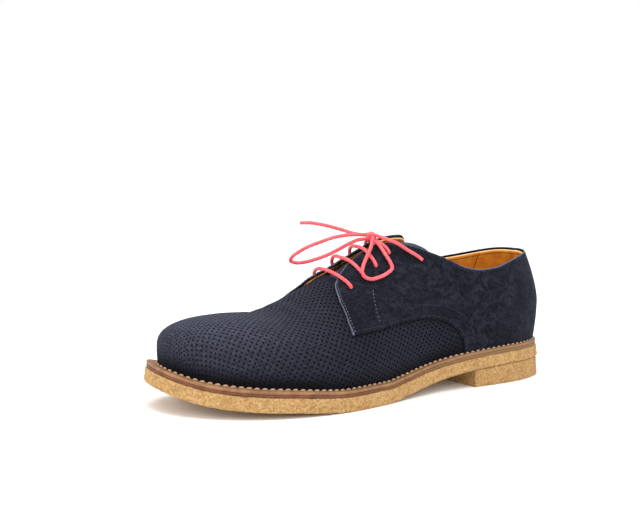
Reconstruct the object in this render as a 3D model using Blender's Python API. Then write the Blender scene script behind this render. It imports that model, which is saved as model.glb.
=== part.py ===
"""A left derby shoe in perforated suede, on a crepe sole with a block heel.

Sizes are millimetres in the tables and turn into metres in place().  In the tables x runs from
the back of the heel to the toe, y is positive on the outer (lateral) side and z is the height
above the ground.  The finished shoe points along +X and stands on z = 0, centred on the origin.
"""
import math

import bmesh
import bpy
import numpy as np
from mathutils import Vector

# ---------------------------------------------------------------- driving sizes
MM = 0.001
LENGTH = 300.0            # outsole, heel to toe
CENTRE_Y = 4.3            # middle of the outsole's width, taken off y
GAP = 0.3                 # clearance between curved pieces that rest on each other
BREAST = 80.0             # front face of the heel block

MIDSOLE = 1.7             # dark leather layer
WELT = 1.8                # light welt above it
WELT_SET_IN = 1.0         # welt and midsole lie this far inside the crepe's edge
INSOLE_RISE = 1.2         # insole's top above the welt's top

WALL = 1.8                # vamp leather with its lining
STEP = 1.2                # the quarters lie this much proud of the vamp
LAP = 0.9                 # and are bedded this deep in it
QUARTER_FOOT = 0.45       # their lower edge above the wall's
TONGUE_THICK = 2.0
TONGUE_CLEAR = 0.7        # between the tongue and the wall over it

EYELET = 3.6              # punched holes
LACE = 2.4                # waxed round lace
LACE_LIFT = 0.35          # lace clear of the leather
DIP_END = 0.4             # a lace's end in an eyelet is this far above the wall's surface,
DIP_TURN = 0.9            # below a point this far under its middle line

SIDE_STATIONS = 34        # sections along each side of the shoe
SLAB_ACROSS = 5           # points across each section of a sole layer
TIP_MARGIN = 0.12         # the first and last section stand this far inside the round ends
FOOT_ROWS = (0.0, 0.35, 0.7)    # the wall's rows below its widest line
CROWN_ROWS = 11           # and from there to the ridge,
CROWN_CROWDING = 1.08     # a little closer together at first
CREASE = math.radians(35) # a sharper edge than this isn't shaded smooth
SLIVER = 0.02 * MM        # edges shorter than this are merged after a cut
CLOSE = 0.12 * MM         # and points of a wall closer than this, where its sections meet

FAR_SIDE = 90.0           # cutters reach this far out on each side of the shoe,
CUT_LOW, CUT_HIGH = 40.0, 150.0   # and between these heights where they cut the top


# ---------------------------------------------------------------- tables and curves
def slopes_through(xs, ys):
    """Slopes that never overshoot the rows: flat where the curve turns."""
    secants = np.diff(ys) / np.diff(xs)
    slopes = np.zeros(len(xs))
    slopes[0], slopes[-1] = secants[0], secants[-1]
    before, after = secants[:-1], secants[1:]
    same_way = before * after > 0
    slopes[1:-1][same_way] = (2 * before * after)[same_way] / (before + after)[same_way]
    return slopes


def hermite(xs, ys, slopes, at):
    at = np.clip(at, xs[0], xs[-1])
    row = np.clip(np.searchsorted(xs, at, side="right") - 1, 0, len(xs) - 2)
    run = xs[row + 1] - xs[row]
    t = (at - xs[row]) / run
    return ((2 * t**3 - 3 * t**2 + 1) * ys[row] + (t**3 - 2 * t**2 + t) * run * slopes[row]
            + (3 * t**2 - 2 * t**3) * ys[row + 1] + (t**3 - t**2) * run * slopes[row + 1])


class Table:
    """Rows of named sizes, read as smooth curves over the first column."""

    def __init__(self, names, rows):
        self.names = names.split()
        self.rows = np.array(rows, dtype=float)

    def column(self, name):
        return self.rows[:, self.names.index(name)]

    def at(self, name, x):
        xs, ys = self.rows[:, 0], self.column(name)
        return hermite(xs, ys, slopes_through(xs, ys), x)


# Plan of the outsole: half-outlines on the outer and inner side.
OUTLINE = Table("x outer inner", [
    (3.0, 13.2, -14.0),
    (12.0, 25.2, -25.6),
    (30.0, 34.0, -33.7),
    (55.0, 38.0, -36.4),
    (82.0, 38.6, -35.4),
    (112.0, 39.8, -32.4),
    (142.0, 46.2, -31.8),
    (170.0, 53.0, -36.4),
    (195.0, 57.4, -43.4),
    (215.0, 58.0, -48.0),
    (236.0, 55.1, -49.4),
    (256.0, 48.4, -47.4),
    (273.0, 38.4, -42.3),
    (286.0, 26.8, -35.7),
    (295.5, 12.4, -25.0)])
HEEL_TIP_Y = 0.4
TOE_TIP_Y = -6.2

# Side view of the sole: height of the crepe's underside (arch, flat tread and toe spring), its
# thickness, and how far the upper's feather line stands in from the crepe's edge.  Towards the
# toe the sole also rises to its inner side: twist is the slope across it.
SOLE = Table("x ground crepe edge twist", [
    (0.0, 13.4, 7.6, 4.0, 0.0),
    (40.0, 13.4, 7.6, 4.0, 0.0),
    (80.0, 11.6, 7.7, 4.2, 0.0),
    (105.0, 8.6, 8.1, 4.7, 0.0),
    (130.0, 4.8, 8.5, 5.1, 0.0),
    (148.0, 1.7, 8.8, 5.3, 0.0),
    (162.0, 0.0, 9.0, 5.4, 0.0),
    (198.0, 0.0, 9.0, 5.5, 0.0),
    (212.0, 1.0, 9.0, 5.5, 0.0),
    (230.0, 2.6, 9.0, 5.5, 0.0),
    (255.0, 5.0, 9.0, 5.5, 0.02),
    (280.0, 8.6, 9.0, 5.5, 0.07),
    (300.0, 13.2, 9.0, 5.5, 0.12)])
TWIST_LINE = 10.0         # where across the sole the twist changes nothing

# The last: its ridge (height and sideways place), and how each side bellies out above the
# feather line (by how much, and how high up) before it rounds over to the ridge.  A higher
# power gives a squarer shoulder.
LAST = Table("x ridge middle power_out power_in belly_out belly_in belly_height", [
    (42.0, 121.0, 0.5, 1.44, 1.44, 2.2, 2.2, 27.0),
    (60.0, 116.0, 0.5, 1.70, 1.70, 2.8, 2.9, 26.0),
    (80.0, 110.0, 0.5, 1.76, 1.76, 2.6, 3.0, 25.0),
    (110.0, 100.4, 0.0, 1.80, 1.85, 2.6, 3.5, 22.0),
    (130.0, 96.8, -1.0, 1.85, 1.95, 3.0, 4.0, 20.0),
    (150.0, 89.0, -1.0, 1.85, 2.00, 3.5, 4.0, 18.0),
    (170.0, 78.4, -1.0, 1.90, 2.10, 4.0, 4.0, 16.0),
    (190.0, 68.0, -1.0, 2.00, 2.20, 3.8, 3.8, 15.0),
    (208.0, 59.8, -1.2, 2.10, 2.20, 2.6, 2.6, 14.0),
    (224.0, 56.1, -1.6, 2.14, 2.16, 1.2, 1.2, 13.0),
    (238.0, 56.3, -2.0, 2.18, 1.96, -0.6, -0.8, 12.0)])
HEEL_CENTRE = 42.0        # the sections fan out around these two ends of the ridge
TOE_CENTRE = 238.0
FAN_BLEND = 9.0

# The collar's edge on the two sides.
TOPLINE = Table("x outer inner", [
    (0.0, 87.3, 87.3),
    (12.0, 86.9, 86.6),
    (24.0, 86.0, 84.4),
    (36.0, 84.0, 82.3),
    (47.0, 81.7, 80.8),
    (59.0, 79.3, 79.7),
    (72.0, 78.4, 79.8),
    (84.0, 80.3, 82.4),
    (92.0, 83.6, 87.0),
    (99.0, 87.0, 92.6),
    (104.0, 89.2, 97.0),
    (108.0, 90.8, 98.8),
    (112.0, 92.3, 99.5),
    (122.0, 95.4, 99.9),
    (142.0, 97.6, 100.0)])

# The opening between the facings, seen from above: their two front edges, and how far each
# facing's free edge is raised over the tongue by the laces.
FACING = Table("x outer inner rise_outer rise_inner", [
    (90.0, 8.0, -9.5, 0.0, 0.0),
    (120.0, 6.5, -8.0, 0.9, 1.6),
    (135.0, 5.0, -7.2, 1.4, 1.1),
    (150.0, 4.0, -6.6, 1.7, 0.7),
    (163.0, 5.2, -6.6, 1.3, 1.1),
    (170.0, 7.7, -8.0, 0.6, 1.5),
    (175.0, 10.2, -9.4, 0.2, 2.0),
    (180.0, 14.5, -11.2, 0.1, 1.9),
    (186.0, 27.5, -15.5, 0.0, 0.6),
    (189.0, 36.4, -22.0, 0.0, 0.1),
    (192.0, 44.0, -32.0, 0.0, 0.0)])
RISE_FADE = 25.0          # the raise dies away this far from the middle
THROAT = 173.0            # where the vamp closes over the tongue
THROAT_ROUND = 7.0        # with a round end this long
FLARE = 158.0             # from here to the toe the facings curve apart over the vamp
SLOT_EASE = 0.25          # behind it the slot trims both layers in one

# Side view of the quarters: a straight front, a square tab corner, and the curve that sweeps
# back down to the welt.  The front stands a little further forward on the inner side.  The first
# and last rows lie outside the shoe.
QUARTER_EDGE = Table("step x z inner_forward", [
    (0, 168.0, 84.0, 5.5),
    (1, 176.0, 76.2, 5.0),
    (2, 181.6, 71.5, 4.0),
    (3, 187.2, 64.2, 2.5),
    (4, 190.7, 53.5, 2.7),
    (5, 190.0, 45.8, 1.6),
    (6, 165.0, 48.2, 0.0),
    (7, 144.0, 50.2, 0.0),
    (8, 124.0, 50.2, 0.0),
    (9, 109.0, 47.3, 0.0),
    (10, 98.5, 42.0, 0.0),
    (11, 91.2, 34.5, 0.0),
    (12, 87.6, 26.0, 0.0),
    (13, 87.0, 10.0, 0.0)])
TAB_CORNER = 5

# The tongue from its rounded top, which droops back into the collar, to its foot under the vamp.
TONGUE = Table("x half_width droop", [
    (96.5, 7.0, 12.2),
    (98.2, 12.0, 10.2),
    (101.5, 16.5, 6.6),
    (106.0, 19.0, 3.2),
    (112.0, 20.5, 1.1),
    (119.0, 21.0, 0.3),
    (150.0, 21.5, 0.0),
    (186.0, 19.0, 0.0)])

# Eyelets on the facings, bottom pair first, and how high the lace's bar between the two arches.
EYELETS = Table("pair outer_x outer_y inner_x inner_y arch", [
    (1, 174.0, 23.5, 173.5, -15.0, 0.6),
    (2, 162.2, 21.0, 159.5, -14.4, 2.6),
    (3, 151.0, 18.8, 145.5, -13.8, 2.2),
    (4, 137.6, 15.0, 131.5, -15.0, 0.0)])

# The bow: its knot over the top pair of eyelets, and the routes of its loops and ends.
KNOT = (139.0, -1.0, 100.4)
KNOT_SIZE = (8.0, 9.0, 6.5)
KNOT_WAIST = 0.18         # share by which its middle is drawn in
KNOT_FLANK = (3.8, 3.5)   # the rising lace meets the knot this far out and down from its middle
RISE_SLOPE = 1.6          # and lifts off the facing by this much on its way
BOW = {
    "lace_loop_outer": [
        (142.0, 3.9, 100.2), (145.2, 7.2, 98.4), (148.8, 10.8, 95.0), (153.3, 14.2, 91.7),
        (156.8, 16.3, 88.6), (160.2, 18.6, 85.7), (163.2, 21.2, 83.1), (165.0, 23.2, 80.6),
        (164.0, 25.0, 77.7), (161.6, 27.4, 76.6), (155.5, 28.8, 77.6), (148.5, 28.4, 79.9),
        (143.8, 27.0, 82.7), (143.2, 23.8, 86.4), (143.5, 20.2, 89.9), (143.6, 16.0, 93.6),
        (143.5, 10.8, 97.2), (142.9, 4.9, 98.1)],
    "lace_loop_inner": [
        (143.6, -2.6, 101.6), (155.8, -5.7, 101.6), (165.6, -9.4, 99.8), (172.9, -13.1, 96.9),
        (178.9, -16.9, 94.1), (184.2, -20.6, 90.4), (187.2, -24.2, 86.6), (186.4, -26.6, 83.9),
        (183.6, -25.2, 82.8), (178.6, -21.4, 83.3), (173.4, -17.4, 85.2), (165.4, -13.1, 88.6),
        (159.7, -9.4, 92.2), (153.4, -5.9, 96.1), (148.4, -4.1, 98.2), (144.0, -2.4, 98.9)],
    "lace_end_outer": [
        (138.2, 4.6, 101.0), (137.6, 12.0, 99.8), (132.2, 16.7, 97.2), (128.9, 18.3, 95.0),
        (125.7, 19.8, 92.7), (122.8, 21.8, 90.7), (120.0, 23.9, 88.6), (117.4, 25.9, 86.1)],
    "lace_end_inner": [
        (140.2, -6.1, 100.8), (145.6, -11.4, 101.6), (151.2, -18.2, 103.8), (159.7, -25.7, 106.5),
        (167.1, -31.3, 107.9), (172.3, -37.0, 107.7)]}


def place(points):
    """Table millimetres to the shoe's own frame in metres."""
    points = np.asarray(points, dtype=float)
    return (points - np.array([LENGTH / 2, CENTRE_Y, 0.0])) * MM


# ---------------------------------------------------------------- materials and meshes
def material(name, colour, roughness):
    made = bpy.data.materials.new(name)
    made.use_nodes = True
    shader = made.node_tree.nodes["Principled BSDF"]
    shader.inputs["Base Color"].default_value = (*colour, 1.0)
    shader.inputs["Roughness"].default_value = roughness
    made.diffuse_color = (*colour, 1.0)
    return made


def new_object(name, mesh, finish=None, collection="derby_shoe"):
    made = bpy.data.objects.new(name, mesh)
    bpy.data.collections[collection].objects.link(made)
    if finish is not None:
        mesh.materials.clear()
        mesh.materials.append(finish)
    mesh.shade_smooth()
    mesh.set_sharp_from_angle(angle=CREASE)
    return made


def mesh_from_rings(name, rings, closed=False):
    """A loft: each ring is a closed line of points; the ends are capped unless it is closed."""
    rings = np.asarray(rings, dtype=float)
    count, size = rings.shape[:2]
    form = bmesh.new()
    verts = [[form.verts.new(place(point)) for point in ring] for ring in rings]
    for i in range(count if closed else count - 1):
        near, far = verts[i], verts[(i + 1) % count]
        for j in range(size):
            k = (j + 1) % size
            form.faces.new((near[j], near[k], far[k], far[j]))
    if not closed:
        form.faces.new(verts[0][::-1])
        form.faces.new(verts[-1])
    bmesh.ops.recalc_face_normals(form, faces=form.faces)
    mesh = bpy.data.meshes.new(name)
    form.to_mesh(mesh)
    form.free()
    return mesh


def prism(name, outline, low, high, axis):
    """A flat outline pushed straight from low to high along an axis, as a cutter."""
    rings = []
    for level in (low, high):
        ring = [list(point) for point in outline]
        for point in ring:
            point.insert(axis, level)
        rings.append(ring)
    return new_object(name, mesh_from_rings(name, rings), collection="cutters")


def combine(body, tool, operation):
    """One exact Boolean, applied; the tool is used up."""
    change = body.modifiers.new(operation, "BOOLEAN")
    change.operation = operation
    change.object = tool
    change.solver = "EXACT"
    finish = body.data.materials[0] if body.data.materials else None
    ready = body.evaluated_get(bpy.context.evaluated_depsgraph_get())
    mesh = bpy.data.meshes.new_from_object(ready)
    form = bmesh.new()
    form.from_mesh(mesh)
    bmesh.ops.remove_doubles(form, verts=form.verts, dist=SLIVER)
    bmesh.ops.dissolve_degenerate(form, edges=form.edges, dist=SLIVER)
    form.to_mesh(mesh)
    form.free()
    body.modifiers.clear()
    body.data = mesh
    mesh.materials.clear()
    if finish is not None:
        mesh.materials.append(finish)
    bpy.data.objects.remove(tool, do_unlink=True)
    return body


# ---------------------------------------------------------------- plan of the sole
def plan_curve():
    """The outsole's closed outline as many short steps: heel, outer side, toe, inner side."""
    x, outer, inner = (OUTLINE.column(name) for name in OUTLINE.names)
    rim = np.vstack([[(0.0, HEEL_TIP_Y)], np.column_stack([x, outer]), [(LENGTH, TOE_TIP_Y)],
                     np.column_stack([x, inner])[::-1]])
    looped = np.vstack([rim[-2:], rim, rim[:3]])
    along = np.concatenate([[0], np.cumsum(np.linalg.norm(np.diff(looped, axis=0), axis=1))])
    fine = np.linspace(along[2], along[2 + len(rim)], 1600, endpoint=False)
    return np.column_stack([
        hermite(along, looped[:, i], np.gradient(looped[:, i], along), fine) for i in (0, 1)])


PLAN = plan_curve()


def inset_plan(inset):
    """The outline moved inwards by a distance that may change along the shoe."""
    tangent = np.roll(PLAN, -1, axis=0) - np.roll(PLAN, 1, axis=0)
    tangent /= np.linalg.norm(tangent, axis=1)[:, None]
    inward = np.column_stack([tangent[:, 1], -tangent[:, 0]])
    return PLAN + inward * np.broadcast_to(inset, len(PLAN))[:, None]


def feather_edge():
    return SOLE.at("edge", PLAN[:, 0])


def sides(inset, high=None):
    """Stations along an inset outline, with the outer and inner y at each.

    They crowd towards the round ends, and a straight cut at high ends them early.
    """
    curve = inset_plan(inset)
    heel, toe = curve[:, 0].argmin(), curve[:, 0].argmax()
    curve = np.roll(curve, -heel, axis=0)
    toe = (toe - heel) % len(curve)
    outer, inner = curve[:toe + 1], curve[toe:][::-1]
    start, end = curve[0, 0] + TIP_MARGIN, curve[toe, 0] - TIP_MARGIN
    turn = np.linspace(0, math.pi, SIDE_STATIONS)
    x = start + (end - start) * (1 - np.cos(turn)) / 2
    if high is not None:
        x = np.concatenate([x[x < high - 1], [high]])
    y_outer = np.interp(x, outer[:, 0], outer[:, 1])
    y_inner = np.interp(x, inner[:, 0], inner[:, 1])
    return x, y_outer, y_inner


def slab(name, inset, bottom, top, finish, high=None):
    """A sole layer between two height functions of x and y."""
    rings = []
    for x, outer, inner in zip(*sides(inset, high=high)):
        across = np.linspace(outer, inner, SLAB_ACROSS)
        rings.append([(x, y, top(x, y)) for y in across]
                     + [(x, y, bottom(x, y)) for y in across[::-1]])
    return new_object(name, mesh_from_rings(name, rings), finish)


def crepe_bottom(x, y):
    return SOLE.at("ground", x) + SOLE.at("twist", x) * (TWIST_LINE - y)


def crepe_top(x, y):
    return crepe_bottom(x, y) + SOLE.at("crepe", x)


def midsole_top(x, y):
    return crepe_top(x, y) + GAP + MIDSOLE


def welt_top(x, y):
    return midsole_top(x, y) + GAP + WELT


# ---------------------------------------------------------------- sole unit
def make_heel(finish):
    return slab("heel_block", 0.0, lambda x, y: 0.0, lambda x, y: crepe_bottom(x, y) - GAP, finish,
                high=BREAST)


def make_outsole(finish):
    return slab("outsole", 0.0, crepe_bottom, crepe_top, finish)


def make_midsole(finish):
    return slab("midsole", WELT_SET_IN, lambda x, y: crepe_top(x, y) + GAP, midsole_top,
                finish)


def closed_loop(inset):
    """One round of an inset outline: outer side to the toe, inner side back to the heel."""
    x, outer, inner = sides(inset)
    return np.vstack([np.column_stack([x, outer]), np.column_stack([x, inner])[::-1]])


def make_welt(finish):
    """A flat ring under the wall, from just inside the crepe's edge to the wall's inner face."""
    rim = closed_loop(WELT_SET_IN)
    inside = closed_loop(feather_edge() + WALL)
    rings = []
    for (x0, y0), (x1, y1) in zip(rim, inside):
        rings.append([(x0, y0, midsole_top(x0, y0) + GAP), (x0, y0, welt_top(x0, y0)),
                      (x1, y1, welt_top(x1, y1)), (x1, y1, midsole_top(x1, y1) + GAP)])
    return new_object("welt", mesh_from_rings("welt", rings, closed=True), finish)


def make_insole(finish):
    return slab("insole", feather_edge() + WALL + 0.4, lambda x, y: midsole_top(x, y) + GAP,
                lambda x, y: welt_top(x, y) + INSOLE_RISE, finish)


# ---------------------------------------------------------------- the last's surface
def ridge_place(x):
    """Where on the ridge the section through a feather point ends."""
    x = x - FAN_BLEND * np.log1p(np.exp((x - TOE_CENTRE) / FAN_BLEND))
    return x + FAN_BLEND * np.log1p(np.exp((HEEL_CENTRE - x) / FAN_BLEND))


def sections(feather, rows):
    """Points of the last: one profile for each feather point, from the welt to the ridge."""
    at = ridge_place(feather[:, 0])
    middle, ridge = LAST.at("middle", at), LAST.at("ridge", at)
    out = feather - np.column_stack([at, middle])
    reach = np.linalg.norm(out, axis=1)
    out /= reach[:, None]
    outer_share = (1 + out[:, 1]) / 2

    def mixed(name):
        return (outer_share * LAST.at(name + "_out", at)
                + (1 - outer_share) * LAST.at(name + "_in", at))

    power, belly = mixed("power"), mixed("belly")
    foot = welt_top(feather[:, 0], feather[:, 1]) + GAP
    belly_height = LAST.at("belly_height", at)
    slope = (LAST.at("ridge", at + 1) - LAST.at("ridge", at - 1)) / 2
    points = np.empty((len(feather), len(rows), 3))
    for j, row in enumerate(rows):
        if row < 1:
            spread = reach + belly * (1 - (1 - row) ** 2)
            height = foot + belly_height * row
        else:
            turn = (row - 1) * math.pi / 2
            spread = (reach + belly) * max(math.cos(turn), 0.0) ** (2 / power)
            share = spread / (reach + belly)
            height = (foot + belly_height
                      + (ridge - foot - belly_height) * math.sin(turn) ** (2 / power)
                      + slope * spread * out[:, 0] * (1 - share ** 2) ** 2)
        points[:, j, 0] = at + out[:, 0] * spread
        points[:, j, 1] = middle + out[:, 1] * spread
        points[:, j, 2] = height
    return points, out


def wall_rows():
    """Row numbers: 0 at the feather line, 1 at the widest part, 2 on the ridge."""
    return np.concatenate([FOOT_ROWS, 1 + np.linspace(0, 1, CROWN_ROWS) ** CROWN_CROWDING])


def rise(x, y):
    """How far the facings are raised above the last's top at a place in the plan."""
    x, y = np.asarray(x, dtype=float), np.asarray(y, dtype=float)
    outer, inner = FACING.at("outer", x), FACING.at("inner", x)
    middle, half = (outer + inner) / 2, (outer - inner) / 2
    away = np.clip((np.abs(y - middle) - half) / np.maximum(RISE_FADE - half, 1.0), 0, 1)
    share = 1 - away * away * (3 - 2 * away)
    side = np.clip((y - middle) / (2 * half) + 0.5, 0, 1)
    return share * (side * FACING.at("rise_outer", x) + (1 - side) * FACING.at("rise_inner", x))


def skin(offset, raised=False):
    """The last's surface moved out along its normals (in, if negative)."""
    feather = closed_loop(feather_edge())
    points, out = sections(feather, wall_rows())
    along = np.roll(points, -1, axis=0) - np.roll(points, 1, axis=0)
    up = np.gradient(points, axis=1)
    normal = np.cross(up, along)
    size = np.linalg.norm(normal, axis=2)
    normal /= np.maximum(size, 1e-9)[..., None]
    at = ridge_place(feather[:, 0])
    slope = (LAST.at("ridge", at + 1) - LAST.at("ridge", at - 1)) / 2
    ridge_normal = np.column_stack([-slope, np.zeros(len(at)), np.ones(len(at))])
    normal[:, -1] = ridge_normal / np.linalg.norm(ridge_normal, axis=1)[:, None]
    normal[:, 0] = np.column_stack([out, np.zeros(len(out))])
    distance = np.full(points.shape[:2], offset)
    if raised:
        distance += rise(points[..., 0], points[..., 1])
    return points + normal * distance[..., None]


def shell(name, outside, inside, finish=None, collection="cutters", lift=0.0, raised=False):
    """A closed wall between two offsets of the last, open underneath."""
    form = bmesh.new()
    outer, inner = skin(outside, raised), skin(inside)
    outer[:, 0, 2] += lift
    inner[:, 0, 2] += lift
    layers = []
    for grid in (outer, inner):
        layers.append([[form.verts.new(place(point)) for point in line] for line in grid])
    count, rows = outer.shape[:2]
    for i in range(count):
        k = (i + 1) % count
        for layer, flip in zip(layers, (False, True)):
            for j in range(rows - 1):
                quad = [layer[i][j], layer[k][j], layer[k][j + 1], layer[i][j + 1]]
                form.faces.new(quad[::-1] if flip else quad)
        form.faces.new((layers[1][i][0], layers[1][k][0], layers[0][k][0], layers[0][i][0]))
    bmesh.ops.remove_doubles(form, verts=form.verts, dist=CLOSE)
    bmesh.ops.dissolve_degenerate(form, edges=form.edges, dist=SLIVER / 2)
    bmesh.ops.recalc_face_normals(form, faces=form.faces)
    mesh = bpy.data.meshes.new(name)
    form.to_mesh(mesh)
    form.free()
    return new_object(name, mesh, finish, collection)


def crown(x, y):
    """Height of the last's top over a place in the plan, away from its round ends."""
    x, y = np.asarray(x, dtype=float), np.asarray(y, dtype=float)
    curve = inset_plan(feather_edge())
    toe = curve[:, 0].argmax()
    middle = LAST.at("middle", x)
    outer = np.interp(x, curve[:toe, 0], curve[:toe, 1]) - middle
    inner = middle - np.interp(x, curve[toe:][::-1, 0], curve[toe:][::-1, 1])
    on_outer = y >= middle
    reach = np.where(on_outer, outer + LAST.at("belly_out", x), inner + LAST.at("belly_in", x))
    power = np.where(on_outer, LAST.at("power_out", x), LAST.at("power_in", x))
    share = np.clip(np.abs(y - middle) / reach, 0, 1)
    base = welt_top(x, y) + GAP + LAST.at("belly_height", x)
    return base + (LAST.at("ridge", x) - base) * (1 - share ** power) ** (1 / power)


def over(x, y, lift):
    """The point at a distance above the last's top, measured square to it."""
    nudge = 0.5
    slope_x = (crown(x + nudge, y) - crown(x - nudge, y)) / (2 * nudge)
    slope_y = (crown(x, y + nudge) - crown(x, y - nudge)) / (2 * nudge)
    normal = np.array([-slope_x, -slope_y, 1.0])
    normal /= np.linalg.norm(normal)
    return np.array([x, y, float(crown(x, y))]) + normal * lift, normal


# ---------------------------------------------------------------- upper and tongue
def quarter_outline(inner_share):
    """Side view of the quarters, closed behind and above the shoe, on the way to the inner side."""
    x = QUARTER_EDGE.column("x") + inner_share * QUARTER_EDGE.column("inner_forward")
    z = QUARTER_EDGE.column("z")
    behind, above, below = -20.0, 140.0, 5.0
    front = [*zip(x[:TAB_CORNER + 1], z[:TAB_CORNER + 1])]
    steps = QUARTER_EDGE.column("step")[TAB_CORNER + 1:]
    sweep = np.arange(steps[0], steps[-1] + 0.01, 0.25)
    curve = [hermite(steps, line[TAB_CORNER + 1:], np.gradient(line[TAB_CORNER + 1:]), sweep)
             for line in (x, z)]
    return [(behind, above), (x[0], above)] + front + [*zip(*curve)] + [(behind, below)]


def quarters():
    """Both quarters and the heel as one layer proud of the wall, cut to its front edges."""
    layer = shell("quarters", STEP, -LAP, lift=QUARTER_FOOT, raised=True)
    rings = []
    turnover = 15.0
    for y, inner_share in ((FAR_SIDE, 0.0), (turnover, 0.0), (-turnover, 1.0), (-FAR_SIDE, 1.0)):
        rings.append([(x, y, z) for x, z in quarter_outline(inner_share)])
    side_cut = new_object("side_cut", mesh_from_rings("side_cut", rings), collection="cutters")
    combine(layer, side_cut, "INTERSECT")
    x = np.linspace(FLARE, FACING.column("x")[-1], 24)
    outer, inner = FACING.at("outer", x), FACING.at("inner", x)
    plan = [*zip(x, outer), *zip(x[::-1], inner[::-1])]
    combine(layer, prism("facing_cut", plan, CUT_LOW, CUT_HIGH, axis=2), "DIFFERENCE")
    return layer


def collar_cutter():
    """Everything above the collar's edge, which differs on the two sides."""
    rings = []
    behind, half_slope = -12.0, 5.0
    for x in np.linspace(behind, TOPLINE.column("x")[-1], 40):
        outer, inner = TOPLINE.at("outer", x), TOPLINE.at("inner", x)
        rings.append([(x, FAR_SIDE, outer), (x, half_slope, outer), (x, -half_slope, inner),
                      (x, -FAR_SIDE, inner), (x, -FAR_SIDE, CUT_HIGH), (x, FAR_SIDE, CUT_HIGH)])
    return new_object("collar_cut", mesh_from_rings("collar_cut", rings), collection="cutters")


def throat_cutter():
    """The slot between the facings, through to the tongue, with a round end at the throat."""
    x = np.linspace(FACING.column("x")[0] - 5, THROAT - THROAT_ROUND, 16)
    outer, inner = FACING.at("outer", x) + SLOT_EASE, FACING.at("inner", x) - SLOT_EASE
    middle, half = (outer[-1] + inner[-1]) / 2, (outer[-1] - inner[-1]) / 2
    turn = np.linspace(math.pi / 2, -math.pi / 2, 6)[1:-1]
    end = [*zip(x[-1] + THROAT_ROUND * np.cos(turn), middle + half * np.sin(turn))]
    plan = [*zip(x, outer)] + end + [*zip(x[::-1], inner[::-1])]
    return prism("throat_cut", plan, CUT_LOW, CUT_HIGH, axis=2)


def eyelet_cutter(x, y):
    """A round punch square to the facing."""
    start, normal = over(x, y, -WALL - TONGUE_CLEAR / 2)
    end, _ = over(x, y, STEP + float(rise(x, y)) + EYELET)
    side = np.cross(normal, [1.0, 0.0, 0.0])
    side /= np.linalg.norm(side)
    front = np.cross(side, normal)
    turns = np.linspace(0, 2 * math.pi, 12, endpoint=False)
    rings = []
    for centre in (start, end):
        rings.append([centre + EYELET / 2 * (math.cos(a) * front + math.sin(a) * side)
                      for a in turns])
    return new_object("eyelet", mesh_from_rings("eyelet", rings), collection="cutters")


def make_upper(finish):
    body = shell("upper", 0.0, -WALL, finish, "derby_shoe")
    combine(body, quarters(), "UNION")
    combine(body, throat_cutter(), "DIFFERENCE")
    combine(body, collar_cutter(), "DIFFERENCE")
    for row in EYELETS.rows:
        for x, y in (row[1:3], row[3:5]):
            combine(body, eyelet_cutter(x, y), "DIFFERENCE")
    body.data.shade_smooth()
    body.data.set_sharp_from_angle(angle=CREASE)
    return body


def make_tongue(finish):
    """A curved tab under the facings, from above their tops to under the vamp."""
    top, bottom = -(WALL + TONGUE_CLEAR), -(WALL + TONGUE_CLEAR + TONGUE_THICK)
    rounded = TONGUE.column("x")[:5]
    xs = np.concatenate([rounded, np.linspace(rounded[-1] + 4, TONGUE.column("x")[-1], 16)])
    rings = []
    for x in xs:
        half, middle = float(TONGUE.at("half_width", x)), float(LAST.at("middle", x))
        across = middle + half * np.linspace(1, -1, 11)
        droop = np.array([0.0, 0.0, float(TONGUE.at("droop", x))])
        upper_line = [over(x, y, top)[0] - droop for y in across]
        lower_line = [over(x, y, bottom)[0] - droop for y in across[::-1]]
        rings.append(upper_line + lower_line)
    return new_object("tongue", mesh_from_rings("tongue", rings), finish)


# ---------------------------------------------------------------- laces
TUBE_STEP = 2.2           # a cord has a ring about every so many of its diameters,
FEWEST_RINGS = 8          # but at least this many


def tube(name, points, diameter, finish, steps=None):
    """A round cord through a few points, as a closed mesh."""
    points = np.asarray(points, dtype=float)
    run = np.concatenate([[0], np.cumsum(np.linalg.norm(np.diff(points, axis=0), axis=1))])
    count = steps or max(FEWEST_RINGS, int(run[-1] / (TUBE_STEP * diameter)))
    fine = np.linspace(0, run[-1], count)
    smooth = np.column_stack([
        hermite(run, points[:, i], np.gradient(points[:, i], run), fine) for i in range(3)])
    curve = bpy.data.curves.new(name, "CURVE")
    curve.dimensions = "3D"
    curve.bevel_depth = diameter / 2 * MM
    curve.bevel_resolution = 2
    curve.use_fill_caps = True
    spline = curve.splines.new("POLY")
    spline.points.add(count - 1)
    for knot, point in zip(spline.points, place(smooth)):
        knot.co = (*point, 1.0)
    guide = bpy.data.objects.new(name + "_guide", curve)
    bpy.data.collections["cutters"].objects.link(guide)
    ready = guide.evaluated_get(bpy.context.evaluated_depsgraph_get())
    mesh = bpy.data.meshes.new_from_object(ready)
    bpy.data.objects.remove(guide, do_unlink=True)
    form = bmesh.new()
    form.from_mesh(mesh)
    bmesh.ops.remove_doubles(form, verts=form.verts, dist=SLIVER / 2)
    bmesh.ops.recalc_face_normals(form, faces=form.faces)
    form.to_mesh(mesh)
    form.free()
    mesh.name = name
    return new_object(name, mesh, finish)


def lace_over(x, y, extra=0.0):
    """Middle of a lace that lies on the facings."""
    return over(x, y, STEP + float(rise(x, y)) + LACE_LIFT + LACE / 2 + extra)[0]


def dip(x, y):
    """The two points that turn a lace down into an eyelet."""
    return [over(x, y, DIP_END)[0], lace_over(x, y, -DIP_TURN)]


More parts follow.
